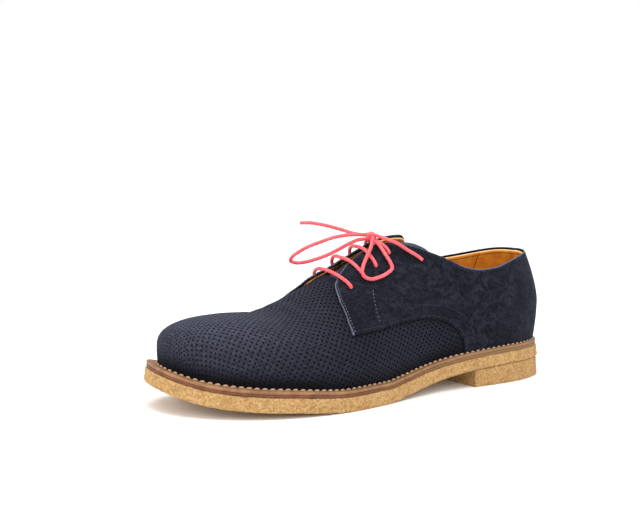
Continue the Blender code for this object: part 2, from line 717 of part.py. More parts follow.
def make_bars(finish):
    """The lace's straight bars across the gap; the top pair of ends rises to the knot."""
    for number, x0, y0, x1, y1, arch in EYELETS.rows[:-1]:
        points = dip(x0, y0)
        points += [lace_over(x0 + (x1 - x0) * t, y0 + (y1 - y0) * t,
                             arch * math.sin(math.pi * t ** 5) ** 2)
                   for t in np.linspace(0.07, 0.93, 9)]
        points += dip(x1, y1)[::-1]
        tube("lace_bar_%d" % number, points, LACE, finish, steps=26)
    top = EYELETS.rows[-1]
    for side, x, y in (("outer", top[1], top[2]), ("inner", top[3], top[4])):
        points = dip(x, y)
        points += [lace_over(x + (KNOT[0] - x) * t, y + (KNOT[1] - y) * t, RISE_SLOPE * t)
                   for t in (0.12, 0.35, 0.58)]
        points.append(np.array(KNOT) + [0.0, math.copysign(KNOT_FLANK[0], y), -KNOT_FLANK[1]])
        tube("lace_rise_" + side, points, LACE, finish, steps=14)


def make_knot(finish):
    """The bow's knot: a lump with a waist where the loops cross."""
    form = bmesh.new()
    bmesh.ops.create_uvsphere(form, u_segments=14, v_segments=8, radius=0.5)
    middle = Vector(place(KNOT))
    for vert in form.verts:
        waist = 1.0 - KNOT_WAIST * math.cos(math.pi * vert.co.y)
        size = Vector((KNOT_SIZE[0] * waist, KNOT_SIZE[1], KNOT_SIZE[2])) * MM
        vert.co = middle + vert.co * size
    mesh = bpy.data.meshes.new("lace_knot")
    form.to_mesh(mesh)
    form.free()
    return new_object("lace_knot", mesh, finish)


def make_bow(finish):
    for name, route in BOW.items():
        tube(name, route, LACE, finish)


# ---------------------------------------------------------------- the shoe
def build():
    for item in list(bpy.data.objects):
        bpy.data.objects.remove(item, do_unlink=True)
    for name in ("derby_shoe", "cutters"):
        bpy.context.scene.collection.children.link(bpy.data.collections.new(name))
    crepe = material("crepe", (0.62, 0.40, 0.17), 0.9)
    dark_leather = material("dark_leather", (0.22, 0.09, 0.05), 0.6)
    welt_leather = material("welt_leather", (0.50, 0.31, 0.18), 0.6)
    sock_leather = material("sock_leather", (0.62, 0.30, 0.08), 0.5)
    suede = material("suede", (0.022, 0.026, 0.045), 0.95)
    lace = material("waxed_lace", (0.85, 0.10, 0.12), 0.5)
    make_heel(crepe)
    make_outsole(crepe)
    make_midsole(dark_leather)
    make_welt(welt_leather)
    make_insole(sock_leather)
    make_upper(suede)
    make_tongue(suede)
    make_bars(lace)
    make_knot(lace)
    make_bow(lace)
    cutters = bpy.data.collections["cutters"]
    for left in list(cutters.objects):
        bpy.data.objects.remove(left, do_unlink=True)


build()
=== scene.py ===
"""A left derby shoe in perforated navy suede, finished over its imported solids.

Sizes in the tables and named values are millimetres: x runs from the back of the heel to the toe,
y is positive on the outer side, and z is the height above the ground.  place() turns them into
the frame's metres.
"""
import math

import bpy
import numpy as np
from mathutils import Matrix, Vector, kdtree, noise


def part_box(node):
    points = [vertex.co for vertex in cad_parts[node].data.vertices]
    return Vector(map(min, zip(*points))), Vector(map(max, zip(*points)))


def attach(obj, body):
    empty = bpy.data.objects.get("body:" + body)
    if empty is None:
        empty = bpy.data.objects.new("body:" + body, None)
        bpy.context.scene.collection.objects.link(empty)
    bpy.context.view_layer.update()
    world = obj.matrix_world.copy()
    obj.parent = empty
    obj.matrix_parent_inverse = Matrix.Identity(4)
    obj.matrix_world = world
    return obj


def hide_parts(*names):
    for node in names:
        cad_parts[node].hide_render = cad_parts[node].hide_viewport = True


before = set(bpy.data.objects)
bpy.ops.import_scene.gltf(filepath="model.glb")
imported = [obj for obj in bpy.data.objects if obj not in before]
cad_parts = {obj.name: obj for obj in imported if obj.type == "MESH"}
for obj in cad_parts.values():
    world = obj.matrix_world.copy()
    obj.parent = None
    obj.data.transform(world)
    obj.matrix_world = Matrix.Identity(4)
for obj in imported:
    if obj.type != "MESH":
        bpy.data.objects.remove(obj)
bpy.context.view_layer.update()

# ---------------------------------------------------------------- driving sizes
MM = 0.001
SOLE_LOW, SOLE_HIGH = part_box("outsole")
MIDDLE_X = (SOLE_LOW[0] + SOLE_HIGH[0]) / 2
MIDDLE_Y = (SOLE_LOW[1] + SOLE_HIGH[1]) / 2
LENGTH = 300.0            # outsole, heel to toe
CENTRE_Y = 4.3            # middle of the outsole's width in the tables
BREAST = 80.0             # front face of the heel block

MIDSOLE = 1.7             # dark leather layer
WELT = 1.8                # light welt above it
WELT_SET_IN = 1.0         # welt and midsole lie this far inside the crepe's edge
INSOLE_RISE = 1.2
GAP = 0.3

WALL = 1.8                # vamp leather with its lining
STEP = 1.2                # the quarters lie this much proud of the vamp
QUARTER = 1.1             # thickness of the quarters' suede
LINING = 0.9              # and of their lining
TONGUE_THICK = 2.0
TONGUE_CLEAR = 0.7

EYELET = 3.6              # punched holes
LACE = 2.4                # waxed round lace
LACE_LIFT = 0.35

HOLE_PITCH = 3.15         # the vamp's perforation, on the diagonal
HOLE_WIDTH = 1.45
HOLE_DEPTH = 0.75


# ---------------------------------------------------------------- tables and curves
def slopes_through(xs, ys):
    """Slopes that never overshoot the rows: flat where the curve turns."""
    secants = np.diff(ys) / np.diff(xs)
    slopes = np.zeros(len(xs))
    slopes[0], slopes[-1] = secants[0], secants[-1]
    before, after = secants[:-1], secants[1:]
    same_way = before * after > 0
    slopes[1:-1][same_way] = (2 * before * after)[same_way] / (before + after)[same_way]
    return slopes


def hermite(xs, ys, slopes, at):
    at = np.clip(at, xs[0], xs[-1])
    row = np.clip(np.searchsorted(xs, at, side="right") - 1, 0, len(xs) - 2)
    run = xs[row + 1] - xs[row]
    t = (at - xs[row]) / run
    return ((2 * t**3 - 3 * t**2 + 1) * ys[row] + (t**3 - 2 * t**2 + t) * run * slopes[row]
            + (3 * t**2 - 2 * t**3) * ys[row + 1] + (t**3 - t**2) * run * slopes[row + 1])


class Table:
    """Rows of named sizes, read as smooth curves over the first column."""

    def __init__(self, names, rows):
        self.names = names.split()
        self.rows = np.array(rows, dtype=float)

    def column(self, name):
        return self.rows[:, self.names.index(name)]

    def at(self, name, x):
        xs, ys = self.rows[:, 0], self.column(name)
        return hermite(xs, ys, slopes_through(xs, ys), x)


# Plan of the outsole: half-outlines on the outer and inner side.
OUTLINE = Table("x outer inner", [
    (3.0, 13.2, -14.0),
    (12.0, 25.2, -25.6),
    (30.0, 34.0, -33.7),
    (55.0, 38.0, -36.4),
    (82.0, 38.6, -35.4),
    (112.0, 39.8, -32.4),
    (142.0, 46.2, -31.8),
    (170.0, 53.0, -36.4),
    (195.0, 57.4, -43.4),
    (215.0, 58.0, -48.0),
    (236.0, 55.1, -49.4),
    (256.0, 48.4, -47.4),
    (273.0, 38.4, -42.3),
    (286.0, 26.8, -35.7),
    (295.5, 12.4, -25.0)])
HEEL_TIP_Y = 0.4
TOE_TIP_Y = -6.2

# Side view of the sole: height of the crepe's underside (arch, flat tread and toe spring), its
# thickness, and how far the upper's feather line stands in from the crepe's edge.  Towards the
# toe the sole also rises to its inner side: twist is the slope across it.
SOLE = Table("x ground crepe edge twist", [
    (0.0, 13.4, 7.6, 4.0, 0.0),
    (40.0, 13.4, 7.6, 4.0, 0.0),
    (80.0, 11.6, 7.7, 4.2, 0.0),
    (105.0, 8.6, 8.1, 4.7, 0.0),
    (130.0, 4.8, 8.5, 5.1, 0.0),
    (148.0, 1.7, 8.8, 5.3, 0.0),
    (162.0, 0.0, 9.0, 5.4, 0.0),
    (198.0, 0.0, 9.0, 5.5, 0.0),
    (212.0, 1.0, 9.0, 5.5, 0.0),
    (230.0, 2.6, 9.0, 6.2, 0.0),
    (255.0, 5.0, 9.0, 7.3, 0.02),
    (280.0, 8.6, 9.0, 7.8, 0.07),
    (300.0, 13.2, 9.0, 7.9, 0.12)])
TWIST_LINE = 10.0         # where across the sole the twist changes nothing

# The last: its ridge (height and sideways place), and how each side bellies out above the
# feather line (by how much, and how high up) before it rounds over to the ridge.  A higher
# power gives a squarer shoulder.
LAST = Table("x ridge middle power_out power_in belly_out belly_in belly_height", [
    (42.0, 121.0, 0.5, 1.44, 1.44, 2.2, 2.2, 27.0),
    (60.0, 116.0, 0.5, 1.70, 1.70, 2.8, 2.9, 26.0),
    (80.0, 110.0, 0.5, 1.76, 1.76, 2.6, 3.0, 25.0),
    (110.0, 100.4, 0.0, 1.80, 1.85, 2.6, 3.5, 22.0),
    (130.0, 96.8, -1.0, 1.85, 1.95, 3.0, 4.0, 20.0),
    (150.0, 89.0, -1.0, 1.85, 2.00, 3.5, 4.0, 18.0),
    (170.0, 78.4, -1.0, 1.90, 2.10, 4.0, 4.0, 16.0),
    (190.0, 68.0, -1.0, 2.00, 2.20, 3.8, 3.8, 15.0),
    (208.0, 59.8, -1.2, 2.10, 2.20, 2.6, 2.6, 14.0),
    (224.0, 55.6, -1.6, 2.3, 2.3, 0.8, 0.8, 12.0),
    (238.0, 55.9, -2.0, 2.9, 2.7, 0.9, 0.7, 10.0)])
HEEL_CENTRE = 42.0        # the sections fan out around these two ends of the ridge
TOE_CENTRE = 238.0
FAN_BLEND = 9.0

# The collar's edge on the two sides.
TOPLINE = Table("x outer inner", [
    (0.0, 87.3, 87.3),
    (12.0, 86.9, 86.6),
    (24.0, 86.0, 84.4),
    (36.0, 84.0, 82.3),
    (47.0, 81.7, 80.8),
    (59.0, 79.3, 79.7),
    (72.0, 78.4, 79.8),
    (84.0, 80.3, 82.4),
    (92.0, 83.6, 87.8),
    (99.0, 87.0, 94.4),
    (104.0, 89.2, 98.3),
    (108.0, 90.8, 99.4),
    (112.0, 92.3, 99.7),
    (122.0, 95.4, 99.9),
    (142.0, 97.6, 100.0)])

# The opening between the facings, seen from above: their two front edges, and how far each
# facing's free edge is raised over the tongue by the laces.
FACING = Table("x outer inner rise_outer rise_inner", [
    (90.0, 8.0, -9.5, 0.0, 0.0),
    (120.0, 6.5, -8.0, 0.9, 1.6),
    (135.0, 5.0, -7.2, 1.4, 1.1),
    (150.0, 4.0, -6.6, 1.7, 0.7),
    (163.0, 5.2, -6.6, 1.3, 1.1),
    (170.0, 7.7, -8.0, 0.6, 1.5),
    (175.0, 10.2, -9.4, 0.2, 2.0),
    (180.0, 14.5, -11.2, 0.1, 1.9),
    (186.0, 27.2, -15.5, 0.0, 0.6),
    (189.0, 35.9, -22.0, 0.0, 0.1),
    (192.0, 50.0, -32.0, 0.0, 0.0)])
RISE_FADE = 25.0          # the raise dies away this far from the middle
FLARE = 158.0             # from here to the toe the facings curve apart over the vamp

# Side view of the quarters: a straight front, a square tab corner, and the curve that sweeps
# back down to the welt.  The front stands a little further forward on the inner side.  The first
# and last rows lie outside the shoe.
QUARTER_EDGE = Table("step x z inner_forward", [
    (0, 168.0, 84.0, 5.5),
    (1, 176.0, 76.2, 5.0),
    (2, 181.6, 71.5, 4.0),
    (3, 186.9, 64.2, 2.8),
    (4, 190.8, 53.5, 2.6),
    (5, 191.1, 46.4, 0.5),
    (6, 165.0, 48.2, 0.0),
    (7, 144.0, 50.2, 0.0),
    (8, 124.0, 50.2, 0.0),
    (9, 109.0, 47.3, 0.0),
    (10, 98.5, 42.0, 0.0),
    (11, 91.2, 34.5, 0.0),
    (12, 87.6, 26.0, 0.0),
    (13, 87.0, 10.0, 0.0)])
TAB_CORNER = 5

# The tongue from its rounded top, which droops back into the collar, to its foot under the vamp.
TONGUE = Table("x half_width droop", [
    (96.5, 7.0, 12.2),
    (98.2, 12.0, 10.2),
    (101.5, 16.5, 7.6),
    (106.0, 19.0, 4.7),
    (112.0, 20.5, 2.2),
    (119.0, 21.0, 0.6),
    (150.0, 21.5, 0.0),
    (186.0, 19.0, 0.0)])

# How lasting has drawn the vamp's pattern forward, by the distance down from its middle line.
DRAWN = Table("down forward", [
    (0.0, 0.0),
    (22.0, -2.2),
    (45.0, -4.5),
    (62.0, -2.4),
    (77.0, 2.5),
    (90.0, 7.8),
    (110.0, 16.0)])
TOE_DRAW = 0.26           # round the toe it is also drawn away from the middle, by this share
TOE_DRAW_FROM = 248.0     # of the length past here
TOE_DRAW_EASE = 8.0       # coming in over about this run
TOE_DRAW_MIDDLE = 15.0    # and in full only this far from the middle line

# Eyelets on the facings, bottom pair first, and how high the lace's bar between the two arches.
EYELETS = Table("pair outer_x outer_y inner_x inner_y arch", [
    (1, 174.0, 23.5, 173.5, -15.0, 0.6),
    (2, 162.2, 21.0, 159.5, -14.4, 2.6),
    (3, 151.0, 18.8, 145.5, -13.8, 2.2),
    (4, 137.6, 15.0, 131.5, -15.0, 0.0)])

# The bow: its knot over the top pair of eyelets, and the routes of its loops and ends.
KNOT = (139.0, -1.0, 100.4)
KNOT_FLANK = (3.8, 3.5)   # the rising lace meets the knot this far out and down from its middle
BOW = {
    "lace_loop_outer": [
        (142.0, 3.9, 100.2), (145.2, 7.2, 98.4), (148.8, 10.8, 95.0), (153.3, 14.2, 91.7),
        (156.8, 16.3, 88.6), (160.2, 18.6, 85.7), (163.2, 21.2, 83.1), (165.0, 23.2, 80.6),
        (164.0, 25.0, 77.7), (161.6, 27.4, 76.6), (155.5, 28.8, 77.6), (148.5, 28.4, 79.9),
        (143.8, 27.0, 82.7), (143.2, 23.8, 86.4), (143.5, 20.2, 89.9), (143.6, 16.0, 93.6),
        (143.5, 10.8, 97.2), (142.9, 4.9, 98.1)],
    "lace_loop_inner": [
        (143.6, -2.6, 101.6), (155.8, -5.7, 101.6), (165.6, -9.4, 99.8), (172.9, -13.1, 96.9),
        (178.9, -16.9, 94.1), (184.2, -20.6, 90.4), (187.2, -24.2, 86.6), (186.4, -26.6, 83.9),
        (183.6, -25.2, 82.8), (178.6, -21.4, 83.3), (173.4, -17.4, 85.2), (165.4, -13.1, 88.6),
        (159.7, -9.4, 92.2), (153.4, -5.9, 96.1), (148.4, -4.1, 98.2), (144.0, -2.4, 98.9)],
    "lace_end_outer": [
        (138.2, 4.6, 101.0), (137.6, 12.0, 99.8), (132.2, 16.7, 97.2), (128.9, 18.3, 95.0),
        (125.7, 19.8, 92.7), (122.8, 21.8, 90.7), (120.0, 23.9, 88.6), (117.4, 25.9, 86.1)],
    "lace_end_inner": [
        (140.2, -6.1, 100.8), (145.6, -11.4, 101.6), (151.2, -18.2, 103.8), (159.7, -25.7, 106.5),
        (167.1, -31.3, 107.9), (172.3, -37.0, 107.7)]}


def place(points):
    """Table millimetres to the frame's metres."""
    points = np.asarray(points, dtype=float)
    return (points - [LENGTH / 2, CENTRE_Y, 0.0]) * MM + [MIDDLE_X, MIDDLE_Y, 0.0]


def unplace(points):
    """The frame's metres back to table millimetres."""
    return (np.asarray(points, dtype=float) - [MIDDLE_X, MIDDLE_Y, 0.0]) / MM + [
        LENGTH / 2, CENTRE_Y, 0.0]


def along(points):
    """Running length of a line of points."""
    return np.concatenate([[0], np.cumsum(np.linalg.norm(np.diff(points, axis=0), axis=1))])


def evenly(points, count, measure=None):
    """The same line with its points at even steps of its length, or of another line's."""
    run = along(points if measure is None else measure)
    steps = np.linspace(0, run[-1], count)
    return np.column_stack([np.interp(steps, run, column) for column in np.asarray(points).T])


FEWEST_POINTS = 8         # of a route, however short


def smooth_route(points, step):
    """A smooth line through a cord's points, about every step along it."""
    points = np.asarray(points, dtype=float)
    run = along(points)
    fine = np.linspace(0, run[-1], max(FEWEST_POINTS, int(run[-1] / step)))
    return np.column_stack([
        hermite(run, points[:, i], np.gradient(points[:, i], run), fine) for i in range(3)])


# ---------------------------------------------------------------- plan and sole heights
PLAN_STEPS = 1600         # points round the outsole's outline


def plan_curve():
    """The outsole's closed outline as many short steps: heel, outer side, toe, inner side."""
    x, outer, inner = (OUTLINE.column(name) for name in OUTLINE.names)
    rim = np.vstack([[(0.0, HEEL_TIP_Y)], np.column_stack([x, outer]), [(LENGTH, TOE_TIP_Y)],
                     np.column_stack([x, inner])[::-1]])
    looped = np.vstack([rim[-2:], rim, rim[:3]])
    run = along(looped)
    fine = np.linspace(run[2], run[2 + len(rim)], PLAN_STEPS, endpoint=False)
    return np.column_stack([
        hermite(run, looped[:, i], np.gradient(looped[:, i], run), fine) for i in (0, 1)])


PLAN = plan_curve()


def inset_plan(inset):
    """The outline moved inwards by a distance that may change along the shoe."""
    tangent = np.roll(PLAN, -1, axis=0) - np.roll(PLAN, 1, axis=0)
    tangent /= np.linalg.norm(tangent, axis=1)[:, None]
    inward = np.column_stack([tangent[:, 1], -tangent[:, 0]])
    return PLAN + inward * np.broadcast_to(inset, len(PLAN))[:, None]


def feather_edge():
    return SOLE.at("edge", PLAN[:, 0])


def crepe_bottom(x, y):
    return SOLE.at("ground", x) + SOLE.at("twist", x) * (TWIST_LINE - y)


def crepe_top(x, y):
    return crepe_bottom(x, y) + SOLE.at("crepe", x)


def midsole_top(x, y):
    return crepe_top(x, y) + GAP + MIDSOLE


def welt_top(x, y):
    return midsole_top(x, y) + GAP + WELT


# ---------------------------------------------------------------- the last's surface
def ridge_place(x):
    """Where on the ridge the section through a feather point ends."""
    x = x - FAN_BLEND * np.log1p(np.exp((x - TOE_CENTRE) / FAN_BLEND))
    return x + FAN_BLEND * np.log1p(np.exp((HEEL_CENTRE - x) / FAN_BLEND))


def ridge_slope(at):
    return (LAST.at("ridge", at + 1) - LAST.at("ridge", at - 1)) / 2


def sections(feather, rows):
    """Points of the last: one profile for each feather point, from the welt to the ridge."""
    at = ridge_place(feather[:, 0])
    middle, ridge = LAST.at("middle", at), LAST.at("ridge", at)
    out = feather - np.column_stack([at, middle])
    reach = np.linalg.norm(out, axis=1)
    out /= reach[:, None]
    outer_share = (1 + out[:, 1]) / 2

    def mixed(name):
        return (outer_share * LAST.at(name + "_out", at)
                + (1 - outer_share) * LAST.at(name + "_in", at))

    power, belly = mixed("power"), mixed("belly")
    foot = welt_top(feather[:, 0], feather[:, 1]) + GAP
    belly_height = LAST.at("belly_height", at)
    slope = ridge_slope(at)
    points = np.empty((len(feather), len(rows), 3))
    for j, row in enumerate(rows):
        if row < 1:
            spread = reach + belly * (1 - (1 - row) ** 2)
            height = foot + belly_height * row
        else:
            turn = (row - 1) * math.pi / 2
            spread = (reach + belly) * max(math.cos(turn), 0.0) ** (2 / power)
            share = spread / (reach + belly)
            height = (foot + belly_height
                      + (ridge - foot - belly_height) * math.sin(turn) ** (2 / power)
                      + slope * spread * out[:, 0] * (1 - share ** 2) ** 2)
        points[:, j, 0] = at + out[:, 0] * spread
        points[:, j, 1] = middle + out[:, 1] * spread
        points[:, j, 2] = height
    return points, out


def rise(x, y):
    """How far the facings are raised above the last's top at a place in the plan."""
    x, y = np.asarray(x, dtype=float), np.asarray(y, dtype=float)
    outer, inner = FACING.at("outer", x), FACING.at("inner", x)
    middle, half = (outer + inner) / 2, (outer - inner) / 2
    away = np.clip((np.abs(y - middle) - half) / np.maximum(RISE_FADE - half, 1.0), 0, 1)
    share = 1 - away * away * (3 - 2 * away)
    side = np.clip((y - middle) / (2 * half) + 0.5, 0, 1)
    return share * (side * FACING.at("rise_outer", x) + (1 - side) * FACING.at("rise_inner", x))


# The main creases: seen from above or from one side, start, end, how far the middle bows out,
# half-width and depth.  Three cross the flex of the vamp, two lie under the ankle on each side.
CREASES = [
    ("above", (214.0, 44.0), (207.0, -36.0), 5.0, 2.3, 0.50),
    ("above", (203.0, 41.0), (198.0, -28.0), 4.0, 1.9, 0.38),
    ("above", (227.0, 37.0), (221.0, -32.0), 4.0, 2.5, 0.28),
    ("outer", (121.0, 75.0), (97.0, 60.0), -2.5, 2.6, 0.42),
    ("outer", (106.0, 76.0), (86.0, 68.0), -2.0, 2.2, 0.30),
    ("inner", (121.0, 80.0), (99.0, 64.0), -2.5, 2.6, 0.42),
    ("inner", (106.0, 80.0), (86.0, 70.0), -2.0, 2.2, 0.30)]
CREASE_RIDGE_AWAY = 1.9   # a ridge stands this many half-widths from its trough
CREASE_RIDGE = 0.45       # and is this share of it high


def creased(points):
    """How far the leather rises, or sinks where negative: soft troughs with a ridge each side."""
    height = np.zeros(points.shape[:2])
    for view, start, end, bow, width, depth in CREASES:
        seen = points[..., [0, 1]] if view == "above" else points[..., [0, 2]]
        start, end = np.array(start), np.array(end)
        length = np.linalg.norm(end - start)
        run = (end - start) / length
        share = np.clip((seen - start) @ run / length, 0, 1)
        arch = 4 * share * (1 - share)
        across = (seen - start) @ np.array([-run[1], run[0]]) - bow * arch
        trough = np.exp(-(across / width) ** 2)
        ridge = np.exp(-((np.abs(across) - CREASE_RIDGE_AWAY * width) / width) ** 2)
        facing_side = {"above": 1.0, "outer": points[..., 1] > 0, "inner": points[..., 1] < 0}[view]
        height += facing_side * arch * depth * (CREASE_RIDGE * ridge - trough)
    return height


SKIN_EVERY = 2            # points of the outline from one station to the next
SKIN_ROWS = 116
SKIN_FOOT, RIDGE_ROW = -0.3, 2.0      # sections() counts rows from just under the welt to the ridge
HALF = 0.5                # slopes are taken this far to each side
TINY = 1e-9               # keeps a length from being nothing
ROW_END = 1.001           # places are kept this much inside the last row
SEARCH_ROUNDS, SEARCH_REACH = 5, 2
NO_AREA, HUGE = 1e-4, 1e9             # a search stands still where the grid has no area


class Skin:
    """The last's surface as a fine grid: stations round the shoe, rows from welt to ridge."""

    def __init__(self):
        feather = inset_plan(feather_edge())[::SKIN_EVERY]
        self.points, out = sections(feather, np.linspace(SKIN_FOOT, RIDGE_ROW, SKIN_ROWS))
        around = np.roll(self.points, -1, axis=0) - np.roll(self.points, 1, axis=0)
        up = np.gradient(self.points, axis=1)
        normals = np.cross(up, around)
        normals /= np.maximum(np.linalg.norm(normals, axis=2), TINY)[..., None]
        at = ridge_place(feather[:, 0])
        top = np.column_stack([-ridge_slope(at), np.zeros(len(at)), np.ones(len(at))])
        normals[:, -1] = top / np.linalg.norm(top, axis=1)[:, None]
        self.normals = normals
        steps = np.linalg.norm(np.diff(self.points, axis=1), axis=2)
        down = np.zeros(self.points.shape[:2])
        down[:, :-1] = np.cumsum(steps[:, ::-1], axis=1)[:, ::-1]
        ridge = np.column_stack([at, LAST.at("middle", at)])
        flat = ridge[:, None] + out[:, None] * down[..., None]
        down = flat[..., 1] - ridge[:, None, 1]
        spread = np.clip(down / TOE_DRAW_MIDDLE, -1, 1)
        past = TOE_DRAW_EASE * np.logaddexp(0, (flat[..., 0] - TOE_DRAW_FROM) / TOE_DRAW_EASE)
        self.drawn = np.stack([flat[..., 0] + DRAWN.at("forward", np.abs(down)),
                               flat[..., 1] + TOE_DRAW * past * spread], axis=-1)
        self.points = self.points + normals * creased(self.points)[..., None]
        lift = STEP + rise(self.points[..., 0], self.points[..., 1])
        raised = self.points + normals * lift[..., None]
        self.side_view = raised[..., [0, 2]]

    def read(self, grid, place_on):
        """A grid's value at fractional stations and rows."""
        station = place_on[:, 0] % len(grid)
        row = np.clip(place_on[:, 1], 0, grid.shape[1] - ROW_END)
        i, j = station.astype(int), row.astype(int)
        u, v = (station - i)[:, None], (row - j)[:, None]
        k = (i + 1) % len(grid)
        i = i % len(grid)
        return ((grid[i, j] * (1 - u) + grid[k, j] * u) * (1 - v)
                + (grid[i, j + 1] * (1 - u) + grid[k, j + 1] * u) * v)

    def find(self, grid, targets, stations):
        """Stations, out of those given, and rows where a grid of two values meets the targets."""
        part = grid[stations]
        tree = kdtree.KDTree(part.shape[0] * part.shape[1])
        for index, (u, v) in enumerate(part.reshape(-1, 2).tolist()):
            tree.insert((u, v, 0.0), index)
        tree.balance()
        near = np.array([tree.find((u, v, 0.0))[1] for u, v in np.asarray(targets).tolist()])
        found = np.column_stack([stations[near // part.shape[1]], near % part.shape[1]])
        found = found.astype(float)
        for _ in range(SEARCH_ROUNDS):
            miss = targets - self.read(grid, found)
            by_station = self.read(grid, found + [HALF, 0]) - self.read(grid, found - [HALF, 0])
            by_row = self.read(grid, found + [0, HALF]) - self.read(grid, found - [0, HALF])
            area = by_station[:, 0] * by_row[:, 1] - by_station[:, 1] * by_row[:, 0]
            area = np.where(np.abs(area) < NO_AREA, HUGE, area)
            station = (miss[:, 0] * by_row[:, 1] - miss[:, 1] * by_row[:, 0]) / area
            row = (by_station[:, 0] * miss[:, 1] - by_station[:, 1] * miss[:, 0]) / area
            found[:, 0] += np.clip(station, -SEARCH_REACH, SEARCH_REACH)
            row = found[:, 1] + np.clip(row, -SEARCH_REACH, SEARCH_REACH)
            found[:, 1] = np.clip(row, 0, grid.shape[1] - ROW_END)
        return found

    def at(self, place_on, lift=0.0, raised=False):
        """Points over the surface, where asked with the laces' raise."""
        points, normals = self.read(self.points, place_on), self.read(self.normals, place_on)
        normals /= np.linalg.norm(normals, axis=1)[:, None]
        lift = np.broadcast_to(np.asarray(lift, dtype=float), len(points)).copy()
        if raised:
            lift += rise(points[:, 0], points[:, 1])
        return points + normals * lift[:, None]

    def normal(self, place_on):
        normals = self.read(self.normals, place_on)
        return normals / np.linalg.norm(normals, axis=1)[:, None]


SKIN = Skin()
TOE_STATION = int(SKIN.points[:, 0, 0].argmax())
STATION_COUNT = len(SKIN.points)


def crown(x, y):
    """Height of the last's top over a place in the plan, away from its round ends."""
    x, y = np.asarray(x, dtype=float), np.asarray(y, dtype=float)
    curve = inset_plan(feather_edge())
    toe = curve[:, 0].argmax()
    middle = LAST.at("middle", x)
    outer = np.interp(x, curve[:toe, 0], curve[:toe, 1]) - middle
    inner = middle - np.interp(x, curve[toe:][::-1, 0], curve[toe:][::-1, 1])
    on_outer = y >= middle
    reach = np.where(on_outer, outer + LAST.at("belly_out", x), inner + LAST.at("belly_in", x))
    power = np.where(on_outer, LAST.at("power_out", x), LAST.at("power_in", x))
    share = np.clip(np.abs(y - middle) / reach, 0, 1)
    base = welt_top(x, y) + GAP + LAST.at("belly_height", x)
    return base + (LAST.at("ridge", x) - base) * (1 - share ** power) ** (1 / power)


def over(x, y, lift):
    """Points at a distance above the last's top, measured square to it, and their normals."""
    x, y = np.atleast_1d(x).astype(float), np.atleast_1d(y).astype(float)
    slope_x = (crown(x + HALF, y) - crown(x - HALF, y)) / (2 * HALF)
    slope_y = (crown(x, y + HALF) - crown(x, y - HALF)) / (2 * HALF)
    normals = np.column_stack([-slope_x, -slope_y, np.ones(len(x))])
    normals /= np.linalg.norm(normals, axis=1)[:, None]
    lift = np.broadcast_to(np.asarray(lift, dtype=float), len(x))
    return np.column_stack([x, y, crown(x, y)]) + normals * lift[:, None], normals


# ---------------------------------------------------------------- shaders
class Value:
    """A number that varies over a surface, written as arithmetic."""

    def __init__(self, shader, socket):
        self.shader, self.socket = shader, socket

    def math(self, operation, *others):
        return self.shader.math(operation, self, *others)

    def __add__(self, other):
        return self.math("ADD", other)

    __radd__ = __add__

    def __sub__(self, other):
        return self.math("SUBTRACT", other)

    def __rsub__(self, other):
        return self.shader.math("SUBTRACT", other, self)

    def __mul__(self, other):
        return self.math("MULTIPLY", other)

    __rmul__ = __mul__

    def smooth(self, low, high):
        """0 below low, 1 above high and an even curve between; backwards if low is the higher."""
        if low > high:
            return 1 - self.smooth(high, low)
        node = self.shader.add("ShaderNodeMapRange", {"interpolation_type": "SMOOTHSTEP"},
                               {0: self, 1: low, 2: high, 3: 0.0, 4: 1.0})
        return Value(self.shader, node.outputs[0])


